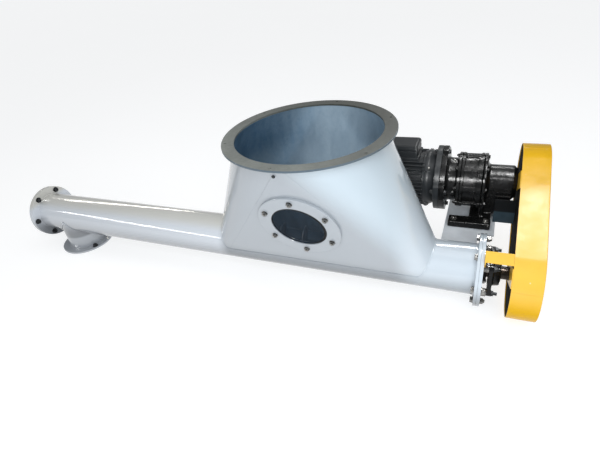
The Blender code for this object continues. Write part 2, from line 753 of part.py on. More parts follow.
def lobed_outline():
    """The outline of the motor's flange, with a lobe at each quarter for its bolts."""
    points = []
    half = math.radians(14)
    gap = half + 0.05
    for i in range(4):
        lobe = math.pi / 2 * i
        points += arc((0, 0), MOTOR_LOBE_R, lobe - half, lobe + half, 3)
        points += arc((0, 0), MOTOR_FLANGE_R, lobe + gap, lobe + math.pi / 2 - gap, 8)
    return points


def make_reducer():
    """The foot-mounted reducer: nose housing with its foot, ring gear, input housing and shaft."""
    axis = {"location": (0, MOTOR_Y, MOTOR_Z), "rotation": ALONG_X}
    bore = OUTPUT_SHAFT_R + RUN_GAP
    start = RING_GEAR_X[1] + GAP
    flange_end = start + NOSE_FLANGE_T
    step = NOSE_END_X - 0.012
    cap_r = NOSE_R - 0.010
    bore_end = NOSE_END_X - OUTPUT_BORE_DEPTH
    profile = [
        (bore, NOSE_END_X), (cap_r, NOSE_END_X), (cap_r, step), (NOSE_R, step), (NOSE_R, flange_end),
        (RING_GEAR_R, flange_end), (RING_GEAR_R, start), (0, start), (0, bore_end), (bore, bore_end),
    ]
    nose = turned("reducer_nose_housing", "black_cast", profile, True, **axis)
    base_z = BASE_TOP_Z + GAP
    foot_top = base_z + FOOT_T
    pads = {"front": FOOT_Y[0], "back": FOOT_Y[1] - PAD_W}
    for side, y in pads.items():
        low = (FOOT_X[0], y, base_z)
        combine(nose, block("join_pad_" + side, None, low, (FOOT_X[1], y + PAD_W, foot_top)), "UNION")
    bridge_low = (start - 0.045, FOOT_Y[0] + 0.01, base_z + 0.001)
    bridge_high = (FOOT_X[1] - 0.001, FOOT_Y[1] - 0.01, foot_top - 0.001)
    combine(nose, block("join_bridge", None, bridge_low, bridge_high), "UNION")
    web_low = (start + 0.001, MOTOR_Y - WEB_HALF, foot_top - 0.012)
    web_high = (flange_end - 0.001, MOTOR_Y + WEB_HALF, MOTOR_Z - 0.05)
    combine(nose, block("join_web", None, web_low, web_high), "UNION")
    rib = [
        (start + 0.004, foot_top - 0.012), (FOOT_X[1] - 0.002, foot_top - 0.012),
        (NOSE_END_X - 0.020, MOTOR_Z - 0.055), (NOSE_END_X - 0.020, MOTOR_Z - 0.030),
        (start + 0.004, MOTOR_Z - 0.030),
    ]
    for side, y in (("front", -RIB_OFFSET), ("back", RIB_OFFSET)):
        placing = {"location": (0, MOTOR_Y + y, 0), "rotation": ALONG_Y}
        combine(nose, outline("join_rib_" + side, None, [rib], RIB_T, **placing), "UNION")

    ring_profile = [
        (0, RING_GEAR_X[1]), (RING_GEAR_R, RING_GEAR_X[1]),
        (RING_GEAR_R, RING_GEAR_X[0]), (0, RING_GEAR_X[0]),
    ]
    turned("reducer_ring_gear", "black_cast", ring_profile, False, **axis)
    rear_flange = INPUT_X[1] - 0.014
    input_profile = [
        (0, INPUT_X[1]), (RING_GEAR_R, INPUT_X[1]), (RING_GEAR_R, rear_flange),
        (INPUT_R, rear_flange), (INPUT_R, INPUT_X[0] + 0.005), (0, INPUT_X[0] + 0.005),
    ]
    housing = turned("reducer_input_housing", "black_cast", input_profile, False, **axis)
    flange_x = INPUT_X[0] + INPUT_FLANGE_T / 2
    placing = {"location": (flange_x, MOTOR_Y, MOTOR_Z), "rotation": ALONG_X}
    flange = outline("join_input_flange", None, [lobed_outline()], INPUT_FLANGE_T, **placing)
    combine(housing, flange, "UNION")
    start = bore_end + GAP
    on_output = {"rotation": ALONG_X, "parent": OUTPUT_AXIS}
    rod("reducer_output_shaft", "zinc", OUTPUT_SHAFT_R, start, SHAFT_END_X, **on_output)


def make_motor():
    """The motor: lobed flange, end shield, finned body, fan cover and terminal box."""
    axis = {"location": (0, MOTOR_Y, MOTOR_Z), "rotation": ALONG_X}
    middle = sum(MOTOR_FLANGE_X) / 2
    thickness = MOTOR_FLANGE_X[1] - MOTOR_FLANGE_X[0]
    outline(
        "motor_flange", "black_cast", [lobed_outline()], thickness,
        location=(middle, MOTOR_Y, MOTOR_Z), rotation=ALONG_X,
    )
    shield_profile = [
        (0, SHIELD_X[1]), (SHIELD_SMALL_R, SHIELD_X[1]), (SHIELD_R, SHIELD_X[0] + 0.018),
        (SHIELD_R, SHIELD_X[0]), (0, SHIELD_X[0]),
    ]
    turned("motor_end_shield", "black_cast", shield_profile, False, **axis)

    fins = []
    step = 2 * math.pi / MOTOR_FINS
    form = [(0.0, MOTOR_CORE_R), (0.5, MOTOR_CORE_R), (0.58, MOTOR_FIN_R), (0.92, MOTOR_FIN_R)]
    for i in range(MOTOR_FINS):
        for share, radius in form:
            angle = (i + share) * step
            fins.append((radius * math.cos(angle), radius * math.sin(angle)))
    middle = sum(MOTOR_BODY_X) / 2
    length = MOTOR_BODY_X[1] - MOTOR_BODY_X[0]
    body = outline(
        "motor_body", "black_cast", [fins], length,
        location=(middle, MOTOR_Y, MOTOR_Z), rotation=ALONG_X,
    )
    box_low = Vector((BOX_X[0], MOTOR_Y - BOX_HALF_Y, BOX_SEAT_Z))
    box_high = Vector((BOX_X[1], MOTOR_Y + BOX_HALF_Y, BOX_TOP_Z))
    gap = Vector((GAP, GAP, GAP))
    combine(body, block("cut_box_seat", None, box_low - gap, box_high + gap))
    block("terminal_box", "black_cast", box_low, box_high, bevel=BOX_EDGE_R)
    fan_profile = [
        (0, FAN_COVER_X[1]), (FAN_COVER_R, FAN_COVER_X[1]), (FAN_COVER_R, FAN_COVER_X[0] + 0.02),
        (FAN_COVER_R - 0.02, FAN_COVER_X[0]), (0, FAN_COVER_X[0]),
    ]
    turned("motor_fan_cover", "black_cast", fan_profile, False, **axis)


def build():
    """Make every piece."""
    round_cutter = tube_cutter()
    make_tube()
    make_spout(round_cutter)
    make_hopper(round_cutter)
    make_sight_glass()
    make_bearings()
    make_screw()
    make_chain_drive()
    make_guard()
    make_base(round_cutter)
    make_reducer()
    make_motor()
    bpy.context.view_layer.update()


build()
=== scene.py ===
"""Fine pieces, finishes and stage of the tubular screw conveyor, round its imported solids.

Pieces are laid out in stations, as the solids are: X runs along the tube from the discharge end's
flange to the drive end, Y points towards the motor and Z points up. Sizes are in metres.
"""

import json
import math

import bmesh
import bpy
from bpy.props import FloatProperty, FloatVectorProperty, PointerProperty
from mathutils import Euler, Matrix, Vector


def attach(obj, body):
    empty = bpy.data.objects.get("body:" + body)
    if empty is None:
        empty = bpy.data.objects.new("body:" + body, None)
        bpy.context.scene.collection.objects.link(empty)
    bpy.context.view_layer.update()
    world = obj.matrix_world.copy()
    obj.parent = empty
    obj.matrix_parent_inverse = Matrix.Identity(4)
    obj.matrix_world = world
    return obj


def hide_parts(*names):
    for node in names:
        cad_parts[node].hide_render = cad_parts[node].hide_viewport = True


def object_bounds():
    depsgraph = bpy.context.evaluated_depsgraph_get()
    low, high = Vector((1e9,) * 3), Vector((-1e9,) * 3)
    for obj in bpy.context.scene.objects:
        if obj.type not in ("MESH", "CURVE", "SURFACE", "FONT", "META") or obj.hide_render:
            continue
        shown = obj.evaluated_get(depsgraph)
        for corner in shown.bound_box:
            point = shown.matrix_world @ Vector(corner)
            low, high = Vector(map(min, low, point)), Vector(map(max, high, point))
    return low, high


bl_info = {
    "name": "Screw Conveyor Finish",
    "version": (1, 0, 0),
    "blender": (4, 5, 0),
    "location": "View3D > Sidebar > Conveyor",
    "description": "Fine pieces, finishes and stage for a tubular screw conveyor",
    "category": "Object",
}

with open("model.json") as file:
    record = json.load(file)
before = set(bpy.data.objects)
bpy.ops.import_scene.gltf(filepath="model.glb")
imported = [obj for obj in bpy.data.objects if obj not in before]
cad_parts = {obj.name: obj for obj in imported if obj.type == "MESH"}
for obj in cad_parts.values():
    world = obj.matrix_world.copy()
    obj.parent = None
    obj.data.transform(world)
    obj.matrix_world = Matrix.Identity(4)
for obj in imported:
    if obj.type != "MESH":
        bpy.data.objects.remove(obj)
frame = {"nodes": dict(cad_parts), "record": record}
CAD_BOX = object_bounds()
FLOOR_Z = CAD_BOX[0].z

STATION = Vector((-2.1703, 0.0, -0.6026))
ALONG_X = Euler((math.pi / 2, 0, math.pi / 2)).to_matrix().to_4x4()
BACK_X = Euler((math.pi / 2, 0, -math.pi / 2)).to_matrix().to_4x4()
UPRIGHT = Matrix.Identity(4)

TUBE_R = 0.1095
TUBE_WALL = 0.005
FLANGE_R = 0.155
PLATE_T = 0.012
FLANGE_BOLT_R = 0.133
TUBE_END = 2.543
END_FACE = 2.557
SPOUT_X = 0.19
SPOUT_FACE = -0.204
INLET_X = 1.836
MOUTH_R = 0.314
SLOT_HALF = 0.46
HOPPER_WALL = 0.004
HOPPER_TOP = 0.5943
RING_R = 0.3606
RING_BORE = 0.308
SIGHT = (1.832, 0.264)
SIGHT_R = 0.182
SIGHT_OPENING = 0.122
MOTOR_Y = 0.40853
MOTOR_Z = 0.20279
DRIVE_TILT = math.radians(26.4)
CENTRES = 0.4561
GUARD_X = 2.66
GUARD_R = 0.18
GUARD_DEPTH = 0.109
CROSS_X = 2.6567
BASE_TOP = 0.041
BEARING_X = 2.578
MOTOR_CENTRE = (MOTOR_Y, MOTOR_Z)
MOTOR_AXIS = (0, MOTOR_Y, MOTOR_Z)
GUARD_TURN = Matrix.Rotation(DRIVE_TILT, 4, "X") @ ALONG_X

GAP = 0.0003
BORE_GAP = 0.0002
BEAD_R = 0.0032
SHAFT_HOLE_R = 0.033
COVER_FACE = -0.0243
TAIL_X = COVER_FACE - GAP
BEARING_PLATE_T = 0.017
BEARING_BOLT = 0.065
RING_BOLT_R = 0.343
SIGHT_BOLT_R = 0.1535
SIGHT_TOP = 0.0119
PANE_R = 0.138
FLIGHT_PITCH = 0.12
FLIGHT_INNER = 0.0303
FLIGHT_OUTER = 0.099
GUARD_SHEET = 0.003
CROSS_TILT = math.radians(-33)
STRAP_LEAN = math.radians(33.5)
CORNER_SHARE = 1.15
REDUCER_FACE = 2.5123
REDUCER_BOLT_R = 0.1185


# Modelling in edit mode

def only(*objs):
    """Select these objects alone, the first one active."""
    bpy.ops.object.select_all(action="DESELECT")
    for obj in objs:
        obj.select_set(True)
    bpy.context.view_layer.objects.active = objs[0]


def pick(test, kind="VERT"):
    """Select the elements that pass a test of their middle and normal, or of an edge's direction."""
    obj = bpy.context.view_layer.objects.active
    bpy.ops.mesh.select_mode(type=kind)
    bpy.ops.mesh.select_all(action="DESELECT")
    bm = bmesh.from_edit_mesh(obj.data)
    if kind == "VERT":
        chosen = [v for v in bm.verts if test(v.co, v.normal)]
    elif kind == "EDGE":
        ends = [(e, e.verts[0].co, e.verts[1].co) for e in bm.edges]
        chosen = [e for e, first, last in ends if test((first + last) / 2, last - first)]
    else:
        chosen = [f for f in bm.faces if test(f.calc_center_median(), f.normal)]
    for element in chosen:
        element.select_set(True)
    bm.select_flush_mode()
    bmesh.update_edit_mesh(obj.data)


def edit(obj, test=None, kind="VERT"):
    """Enter edit mode with everything selected, or only what passes a test."""
    only(obj)
    bpy.ops.object.mode_set(mode="EDIT")
    bpy.ops.mesh.select_mode(type="VERT")
    bpy.ops.mesh.select_all(action="SELECT")
    if test:
        pick(test, kind)


def leave():
    """Go back to object mode and return the object that was edited."""
    bpy.ops.object.mode_set(mode="OBJECT")
    return bpy.context.view_layer.objects.active


def face_outward():
    """Turn the faces of the mesh in edit mode outward."""
    bpy.ops.mesh.select_all(action="SELECT")
    bpy.ops.mesh.normals_make_consistent(inside=False)


def named(name):
    """The object that was made last, under a new name."""
    obj = bpy.context.view_layer.objects.active
    obj.name = name
    obj.data.name = name
    return obj


def apply(obj, kind, **settings):
    """Add a modifier with these settings and apply it."""
    only(obj)
    modifier = obj.modifiers.new(kind.lower(), kind)
    for key, value in settings.items():
        setattr(modifier, key, value)
    bpy.ops.object.modifier_apply(modifier=modifier.name)
    return obj


def carry(obj, matrix=UPRIGHT):
    """Turn and move a piece, and put its place, turn and size into its mesh."""
    obj.matrix_world = matrix @ obj.matrix_world
    only(obj)
    bpy.ops.object.transform_apply(location=True, rotation=True, scale=True)
    return obj


def station(at=(0, 0, 0), turn=UPRIGHT):
    """The matrix that carries a piece from its own middle to a station."""
    return Matrix.Translation(STATION + Vector(at)) @ turn


def settle(obj, at=(0, 0, 0), turn=UPRIGHT):
    """Bring a piece to its station."""
    return carry(obj, station(at, turn))


def bevel(obj, width, segments=2, angle=30):
    """Round the edges that turn by more than an angle in degrees."""
    return apply(obj, "BEVEL", width=width, segments=segments, limit_method="ANGLE",
                 angle_limit=math.radians(angle), use_clamp_overlap=True)


def smooth(obj, angle=35):
    """Shade smooth up to an angle in degrees, with the large faces kept flat."""
    only(obj)
    bpy.ops.object.shade_smooth_by_angle(angle=math.radians(angle))
    return apply(obj, "WEIGHTED_NORMAL", keep_sharp=True)


def circle(name, radius, height, segments):
    """A ring of edges, square to Z."""
    bpy.ops.object.select_all(action="DESELECT")
    bpy.ops.mesh.primitive_circle_add(vertices=segments, radius=radius, location=(0, 0, height))
    return carry(named(name))


def turned(name, profile, segments=64, closed=False):
    """A round piece about Z, drawn out ring by ring through a profile of (radius, height)."""
    radius, height = profile[0]
    obj = circle(name, radius, height, segments)
    edit(obj)
    for next_radius, next_height in list(profile[1:]) + [profile[0]] * closed:
        bpy.ops.mesh.extrude_region_move(TRANSFORM_OT_translate={"value": (0, 0, next_height - height)})
        share = next_radius / radius
        bpy.ops.transform.resize(value=(share, share, 1), center_override=(0, 0, next_height))
        radius, height = next_radius, next_height
    bpy.ops.mesh.select_all(action="SELECT")
    if closed:
        bpy.ops.mesh.remove_doubles(threshold=0.00001)
    else:
        bpy.ops.mesh.fill_holes(sides=0)
    face_outward()
    return leave()


def ring(name, outer, inner, low, high, segments=64, edge=0.0):
    """A flat ring or a length of tube, with its edges eased."""
    obj = turned(name, [(outer, low), (outer, high), (inner, high), (inner, low)], segments, closed=True)
    return bevel(obj, edge, 2, 60) if edge else obj


def block(name, low, high, edge=0.0, segments=2):
    """A box between two corners, with its edges rounded."""
    low, high = Vector(low), Vector(high)
    middle = (low + high) / 2
    bpy.ops.object.select_all(action="DESELECT")
    bpy.ops.mesh.primitive_cube_add(size=1.0, location=middle)
    obj = named(name)
    edit(obj)
    bpy.ops.transform.resize(value=high - low, center_override=middle)
    carry(leave())
    return bevel(obj, edge, segments) if edge else obj


def joined(name, objs):
    """Join several meshes into one piece."""
    only(*objs)
    if len(objs) > 1:
        bpy.ops.object.join()
    return named(name)


def cut(obj, tool, operation="DIFFERENCE"):
    """Cut a piece with another one, or join that to it, and clear the other one away."""
    apply(obj, "BOOLEAN", operation=operation, solver="EXACT", object=tool)
    bpy.data.objects.remove(tool, do_unlink=True)
    return obj


def drill(obj, radius, low, high, segments, at=(0, 0, 0), turn=ALONG_X):
    """Cut a round hole between two heights on its own axis, at a station."""
    return cut(obj, settle(turned("drill", [(radius, low), (radius, high)], segments), at, turn))


def copies(obj, matrices, name="copies"):
    """One piece of copies of an object at a row of matrices. The object itself is used up."""
    made = []
    for matrix in matrices:
        twin = obj.copy()
        twin.data = obj.data.copy()
        bpy.context.scene.collection.objects.link(twin)
        twin.data.transform(matrix)
        made.append(twin)
    bpy.data.objects.remove(obj, do_unlink=True)
    return joined(name, made)


def around(obj, angles):
    """One piece of copies of an object, turned about Z."""
    return copies(obj, [Matrix.Rotation(angle, 4, "Z") for angle in angles])


def bead(points, radius, cyclic=False, ripple=0.12):
    """A weld bead along a line of points in stations."""
    curve = bpy.data.curves.new("bead", "CURVE")
    curve.dimensions = "3D"
    curve.bevel_depth = radius
    curve.bevel_resolution = 3
    curve.use_fill_caps = not cyclic
    spline = curve.splines.new("POLY")
    spline.points.add(len(points) - 1)
    for i, point in enumerate(points):
        spline.points[i].co = (*(Vector(point) + STATION), 1)
        spline.points[i].radius = 1 + ripple * math.sin(i * 2.4)
    spline.use_cyclic_u = cyclic
    obj = bpy.data.objects.new("bead", curve)
    bpy.context.scene.collection.objects.link(obj)
    only(obj)
    bpy.ops.object.convert(target="MESH")
    bpy.ops.object.shade_smooth()
    return bpy.context.view_layer.objects.active


def dress(obj, finish, *nodes, body="conveyor"):
    """Give a piece its finish and its body, and hide the solids that it stands for."""
    obj.data.materials.clear()
    obj.data.materials.append(FINISHES[finish])
    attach(obj, body)
    if nodes:
        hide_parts(*nodes)
    return obj


def show(obj, finish, *nodes, body="conveyor", angle=35):
    """Shade a piece and dress it."""
    return dress(smooth(obj, angle), finish, *nodes, body=body)


def place(obj, finish, *nodes, at=(0, 0, 0), turn=ALONG_X, body="conveyor", angle=35):
    """Bring a piece to its station, shade it and dress it."""
    return show(settle(obj, at, turn), finish, *nodes, body=body, angle=angle)


def welded(name, finish, *beads):
    """Join weld beads into one piece and dress it."""
    return dress(joined(name, beads), finish)


# Shader sums

class Wire:
    """An output socket in a finish's node tree, which can be added, multiplied and mixed."""

    def __init__(self, tree, socket=None):
        self.tree = tree
        self.socket = socket

    def feed(self, target, value):
        """Link an input to a value that is a wire, or set it."""
        if isinstance(value, Wire):
            self.tree.links.new(value.socket, target)
        elif target.type == "RGBA" and len(value) == 3:
            target.default_value = (*value, 1)
        else:
            target.default_value = value

    def node(self, kind, settings=None, sockets=None, output=0):
        """Add a node with its settings and the values or links of its sockets, and return an output."""
        made = self.tree.nodes.new(kind)
        for key, value in (settings or {}).items():
            setattr(made, key, value)
        for key, value in (sockets or {}).items():
            self.feed(made.inputs[key], value)
        return Wire(self.tree, made.outputs[output])

    def sum(self, operation, first, second):
        """A Math node on two numbers."""
        return self.node("ShaderNodeMath", {"operation": operation}, {0: first, 1: second})

    def __add__(self, other):
        return self.sum("ADD", self, other)

    __radd__ = __add__

    def __sub__(self, other):
        return self.sum("SUBTRACT", self, other)

    def __rsub__(self, other):
        return self.sum("SUBTRACT", other, self)

    def __mul__(self, other):
        return self.sum("MULTIPLY", self, other)

    __rmul__ = __mul__

    def __pow__(self, other):
        return self.sum("POWER", self, other)

    def __rpow__(self, other):
        return self.sum("POWER", other, self)

    def between(self, low, high, start=0.0, end=1.0):
        """This number carried from one range to another, and held at its ends."""
        sockets = {"Value": self, "From Min": low, "From Max": high, "To Min": start, "To Max": end}
        return self.node("ShaderNodeMapRange", {"interpolation_type": "SMOOTHSTEP"}, sockets)

    def mix(self, first, second):
        """One colour where this number is 0, another where it is 1."""
        sockets = {0: self, 6: first, 7: second}
        return self.node("ShaderNodeMix", {"data_type": "RGBA", "clamp_factor": True}, sockets, 2)

    def coordinates(self, stretch=(1, 1, 1)):
        """Object coordinates, stretched."""
        spot = self.node("ShaderNodeTexCoord", output=3)
        return self.node("ShaderNodeMapping", None, {"Vector": spot, "Scale": stretch})

    def axis(self, index, origin=0.0):
        """One of the object coordinates as a number, measured from an origin."""
        number = self.node("ShaderNodeSeparateXYZ", None, {0: self.coordinates()}, index)
        return number - origin if origin else number

    def noise(self, scale, detail=3.0, stretch=(1, 1, 1), rough=0.55):
        """Cloudy noise from 0 to 1."""
        sockets = {"Vector": self.coordinates(stretch), "Scale": scale, "Detail": detail, "Roughness": rough}
        return self.node("ShaderNodeTexNoise", None, sockets)

    def bump(self, height, strength, distance):
        """A normal raised by a height."""
        sockets = {"Height": height, "Strength": strength, "Distance": distance}
        return self.node("ShaderNodeBump", None, sockets)


def new_finish(name, make):
    """A finish: numbers that are the same all over go on the shader's own sockets."""
    material = bpy.data.materials.new(name)
    material.use_nodes = True
    wire = Wire(material.node_tree)
    shader = next(n for n in wire.tree.nodes if n.type == "BSDF_PRINCIPLED")
    for key, value in make(wire).items():
        wire.feed(shader.inputs[key], value)
    FINISHES[name] = material
    return material


def scaled(colour, share):
    """A colour made lighter or darker."""
    return tuple(min(1.0, part * share) for part in colour)


def tinted(colour, *shares):
    """A colour with each part multiplied by its own share."""
    return tuple(part * share for part, share in zip(colour, shares))


def cloudy(scale, detail, span, dark, light, rough, metallic=0.0, specular=0.5, raised=0.0):
    """A maker for a finish whose colour and roughness follow one cloudy noise."""
    def make(w):
        cloud = w.noise(scale, detail)
        parts = {
            "Base Color": cloud.between(*span).mix(dark, light),
            "Metallic": metallic,
            "Roughness": cloud.between(0.3, 0.7, *rough),
            "Specular IOR Level": specular,
        }
        if raised:
            parts["Normal"] = w.bump(cloud, raised, 0.0004)
        return parts
    return make


FINISHES = {}
SLOTS = {
    "enamel": "white_paint", "galvanised": "white_paint", "raw_ring": "bare_steel", "zinc_plate": "zinc",
    "screw_metal": "screw_steel", "chain_metal": "chain_steel", "gloss_black": "black_cast",
    "motor_charcoal": "black_cast", "dull_black": "black_cast", "dark_fastener": "black_cast",
    "oily_steel": "screw_steel", "rubber": "black_rubber",
    "pane": "clear_pane", "guard_yellow": "yellow_paint", "base_grey": "grey_paint", "slate": "slate_paint",
}


def make_finishes(colours):
    """All the finishes, from the colours that the user sets."""
    white = tuple(colours.enamel)
    yellow = tuple(colours.guard)
    steel = tuple(colours.ring)
    grey = tuple(colours.base)

    def enamel(w):
        along, height = w.axis(0), w.axis(2, STATION.z)
        # Painted light and shade: the white is darker towards the lower left and lighter and bluer towards
        # the upper right, lighter and bluer still at the drive end, and on the tube's left part lighter again
        # and warmer at its top.
        corner = (along * 1.183 + height).between(0.1, 0.36)
        sheet = corner.mix(tinted(white, 0.73, 0.76, 0.79), tinted(white, 0.96, 1.07, 1.13))
        lit_right_end = along.between(0.02, 0.14).mix(sheet, tinted(white, 1.15, 1.22, 1.27))
        warm_lit_top = height.between(0.07, 0.106).mix(
            tinted(white, 1.36, 1.38, 1.42), tinted(white, 1.28, 1.22, 1.1))
        painted_light = along.between(-0.8, -0.87).mix(lit_right_end, warm_lit_top)
        # Painted shade: the underside is darker, and less so lowest down, except on the discharge end's
        # flange.
        shade = height.between(-0.085, 0.055, 0.33, 1.0)
        spout = height.between(-0.106, -0.124, 0.0, 0.3) * along.between(-2.14, -2.12)
        tint = (shade + spout).mix((0.0, 0.0, 0.0), painted_light)
        film = w.noise(34.0, 4.0).between(0.58, 0.82, 0.0, 0.22)
        peel = w.noise(190.0, 1.0) * 0.5 + w.noise(22.0, 2.0)
        return {
            "Base Color": (film * 0.5).mix(tint, scaled(white, 0.87)),
            "Roughness": w.noise(9.0, 3.0).between(0.3, 0.75, 0.1, 0.22),
            "Normal": w.bump(peel, 0.16, 0.0012),
            "Coat Weight": 0.6,
            "Coat Roughness": 0.05,
        }

    def galvanised(w):
        streak = w.noise(24.0, 4.0, (1.0, 1.0, 0.05), 0.62)
        sockets = {"Vector": w.coordinates((1, 1, 0.8)), "Scale": 85.0}
        spangle = w.node("ShaderNodeTexVoronoi", {"feature": "F1"}, sockets, 1)
        flake = w.node("ShaderNodeSeparateColor", None, {0: spangle})
        # Painted shade and light inside the hopper: darker towards the discharge end and lighter lower down;
        # the streaks, spangle and cloudy tone added to it are the zinc's own.
        side = w.axis(0).between(-0.66, -0.36) * 0.55 + w.axis(2).between(-0.12, -0.28, 0.0, 0.38)
        shade = side + streak.between(0.3, 0.72) * 0.11 + w.noise(3.0, 2.0) * 0.08 + flake * 0.06
        return {
            "Base Color": shade.mix((0.06, 0.14, 0.23), (0.46, 0.57, 0.65)),
            "Metallic": 0.55,
            "Roughness": streak.between(0.3, 0.7, 0.34, 0.55),
            "Normal": w.bump(streak + flake * 0.3, 0.2, 0.001),
        }

    def raw_ring(w):
        grain = w.noise(60.0, 5.0, rough=0.7)
        rust = w.noise(23.0, 6.0, rough=0.65).between(0.63, 0.78)
        base = w.noise(5.0, 4.0).between(0.3, 0.7).mix(scaled(steel, 0.78), scaled(steel, 1.22))
        worn = (rust * 0.45).mix(base, (0.19, 0.115, 0.06))
        x, y = w.axis(0, INLET_X + STATION.x), w.axis(1)
        # Painted shade and light: the ring's outer edge is painted a dark blue-grey shade, and its top is
        # lighter towards the front left and darker towards the back right.
        rim = ((x ** 2.0 + y ** 2.0) ** 0.5).between(0.3592, 0.36)
        lit = (x * -1.9 + y * -2.3).between(-1.0, 1.0).mix((0.052, 0.055, 0.045), worn)
        plain = grain.between(0.35, 0.75, 0.0, 0.25).mix(lit, scaled(steel, 0.9))
        return {
            "Base Color": rim.mix(plain, (0.085, 0.115, 0.14)),
            "Metallic": 0.15,
            "Roughness": grain.between(0.3, 0.7, 0.36, 0.6),
            "Normal": w.bump(grain, 0.25, 0.0006),
        }

    def screw_metal(w):
        radius = (w.axis(1) ** 2.0 + w.axis(2, STATION.z) ** 2.0) ** 0.5
        rim = radius.between(0.088, 0.0985)
        dust = w.noise(16.0, 5.0).between(0.35, 0.7)
        plain = dust.mix((0.1, 0.105, 0.115), (0.27, 0.28, 0.3))
        return {
            "Base Color": rim.mix(plain, (0.55, 0.56, 0.58)),
            "Metallic": 0.85,
            "Roughness": (rim * -0.16) + dust.between(0.0, 1.0, 0.34, 0.52),
            "Normal": w.bump(w.noise(90.0, 3.0), 0.2, 0.0005),
        }

    def gloss_black(w):
        sand = w.noise(120.0, 3.0) + w.noise(34.0, 3.0) * 2.0
        dust = w.noise(12.0, 5.0).between(0.55, 0.8)
        return {
            "Base Color": (dust * 0.5).mix((0.0045, 0.0045, 0.0045), (0.028, 0.026, 0.024)),
            "Roughness": w.noise(18.0, 3.0).between(0.3, 0.7, 0.16, 0.34),
            "Normal": w.bump(sand, 0.32, 0.0016),
            "Specular IOR Level": 0.22,
        }

    def dull_black(w):
        return {
            "Base Color": w.noise(12.0, 4.0).mix((0.006, 0.006, 0.005), (0.016, 0.015, 0.013)),
            "Roughness": 0.9,
            "Specular IOR Level": 0.03,
        }

    def motor_charcoal(w):
        dust = w.noise(10.0, 5.0).between(0.45, 0.8)
        return {
            "Base Color": dust.mix((0.022, 0.0245, 0.0265), (0.044, 0.046, 0.048)),
            "Roughness": dust.between(0.0, 1.0, 0.36, 0.58),
            "Normal": w.bump(w.noise(150.0, 3.0), 0.22, 0.0008),
            "Specular IOR Level": 0.2,
        }

    def pane(w):
        # Painted shade: the pane is near black and partly opaque, darkening the view into the hopper; the
        # smears vary it a little.
        smear = w.noise(14.0, 4.0, (1.0, 1.0, 0.35))
        return {
            "Base Color": smear.between(0.4, 0.75).mix((0.006, 0.012, 0.02), (0.014, 0.024, 0.036)),
            "Roughness": smear.between(0.35, 0.7, 0.02, 0.1),
            "Alpha": smear.between(0.35, 0.75, 0.56, 0.66),
            "IOR": 1.12,
        }

    def guard_yellow(w):
        cloud = w.noise(6.5, 4.0, rough=0.6)
        height = w.axis(2, STATION.z)
        # Painted reflection: a pale band across the guard's middle heights, broken up by noise.
        reflection_band = height.between(-0.05, 0.06, 0.0, 0.24) * height.between(0.2, 0.36, 1.0, 0.15)
        painted_reflection = reflection_band * w.noise(2.6, 3.0).between(0.3, 0.7, 0.8, 1.2)
        strong = cloud.between(0.3, 0.7).mix(scaled(yellow, 0.93), scaled(yellow, 1.05))
        # Painted shade: the yellow darkens towards the guard's bottom.
        shaded_low = height.between(-0.12, 0.06).mix(scaled(yellow, 0.8), strong)
        chips = w.noise(46.0, 2.0).between(0.745, 0.775)
        colour = painted_reflection.mix(shaded_low, (0.97, 0.7, 0.3))
        return {
            "Base Color": (chips * 0.7).mix(colour, (0.8, 0.66, 0.42)),
            "Roughness": cloud.between(0.3, 0.7, 0.13, 0.3),
            "Normal": w.bump(w.noise(15.0, 2.0) + w.noise(150.0, 1.0) * 0.25, 0.25, 0.0022),
            "IOR": 1.16,
        }

    def base_grey(w):
        cloud = w.noise(13.0, 5.0)
        scuff = w.noise(60.0, 5.0, (1.0, 0.25, 1.0)).between(0.62, 0.8)
        plain = cloud.between(0.3, 0.72).mix(scaled(grey, 0.9), scaled(grey, 1.07))
        return {
            "Base Color": (scuff * 0.5).mix(plain, scaled(grey, 0.62)),
            "Roughness": cloud.between(0.3, 0.7, 0.32, 0.48),
            "Normal": w.bump(w.noise(130.0, 2.0), 0.15, 0.0006),
            "Coat Weight": 0.2,
        }

    def slate(w):
        cloud = w.noise(20.0, 4.0)
        blue = cloud.between(0.3, 0.7).mix((0.02, 0.038, 0.05), (0.034, 0.056, 0.071))
        return {
            # Painted shadow: the stay is near black above a level and slate blue below it.
            "Base Color": w.axis(2, STATION.z).between(0.104, 0.097).mix((0.004, 0.005, 0.006), blue),
            "Roughness": cloud.between(0.3, 0.7, 0.45, 0.6),
            "Normal": w.bump(w.noise(120.0, 2.0), 0.2, 0.0006),
            "Specular IOR Level": 0.2,
        }

    for make in (enamel, galvanised, raw_ring, screw_metal, gloss_black, dull_black, motor_charcoal,
                 pane, guard_yellow, base_grey, slate):
        new_finish(make.__name__, make)
    new_finish("zinc_plate", cloudy(
        70.0, 4.0, (0.3, 0.75), (0.15, 0.15, 0.145), (0.36, 0.35, 0.33), (0.18, 0.36), 0.95, raised=0.15))
    new_finish("chain_metal", cloudy(
        55.0, 4.0, (0.3, 0.7), (0.035, 0.03, 0.026), (0.17, 0.16, 0.15), (0.22, 0.5), 0.9))
    new_finish("oily_steel", cloudy(
        30.0, 4.0, (0.35, 0.7), (0.014, 0.011, 0.009), (0.07, 0.052, 0.04), (0.16, 0.34), 0.6, 0.3))
    new_finish("dark_fastener", cloudy(
        80.0, 3.0, (0.3, 0.7), (0.012, 0.013, 0.014), (0.045, 0.048, 0.05), (0.25, 0.45), 0.5, 0.3))
    new_finish("rubber", cloudy(
        40.0, 4.0, (0.35, 0.8), (0.008, 0.008, 0.008), (0.022, 0.022, 0.023), (0.55, 0.75), 0.0, 0.15))


# Forms that several pieces share

def spread(count, start=0.0):
    """Angles spread evenly round a circle, from a start in degrees."""
    return [math.radians(start) + 2 * math.pi * i / count for i in range(count)]


def hopper_radius(z):
    """The radius of the hopper's rounded ends at a height."""
    return TUBE_R + (MOUTH_R - TUBE_R) * z / HOPPER_TOP


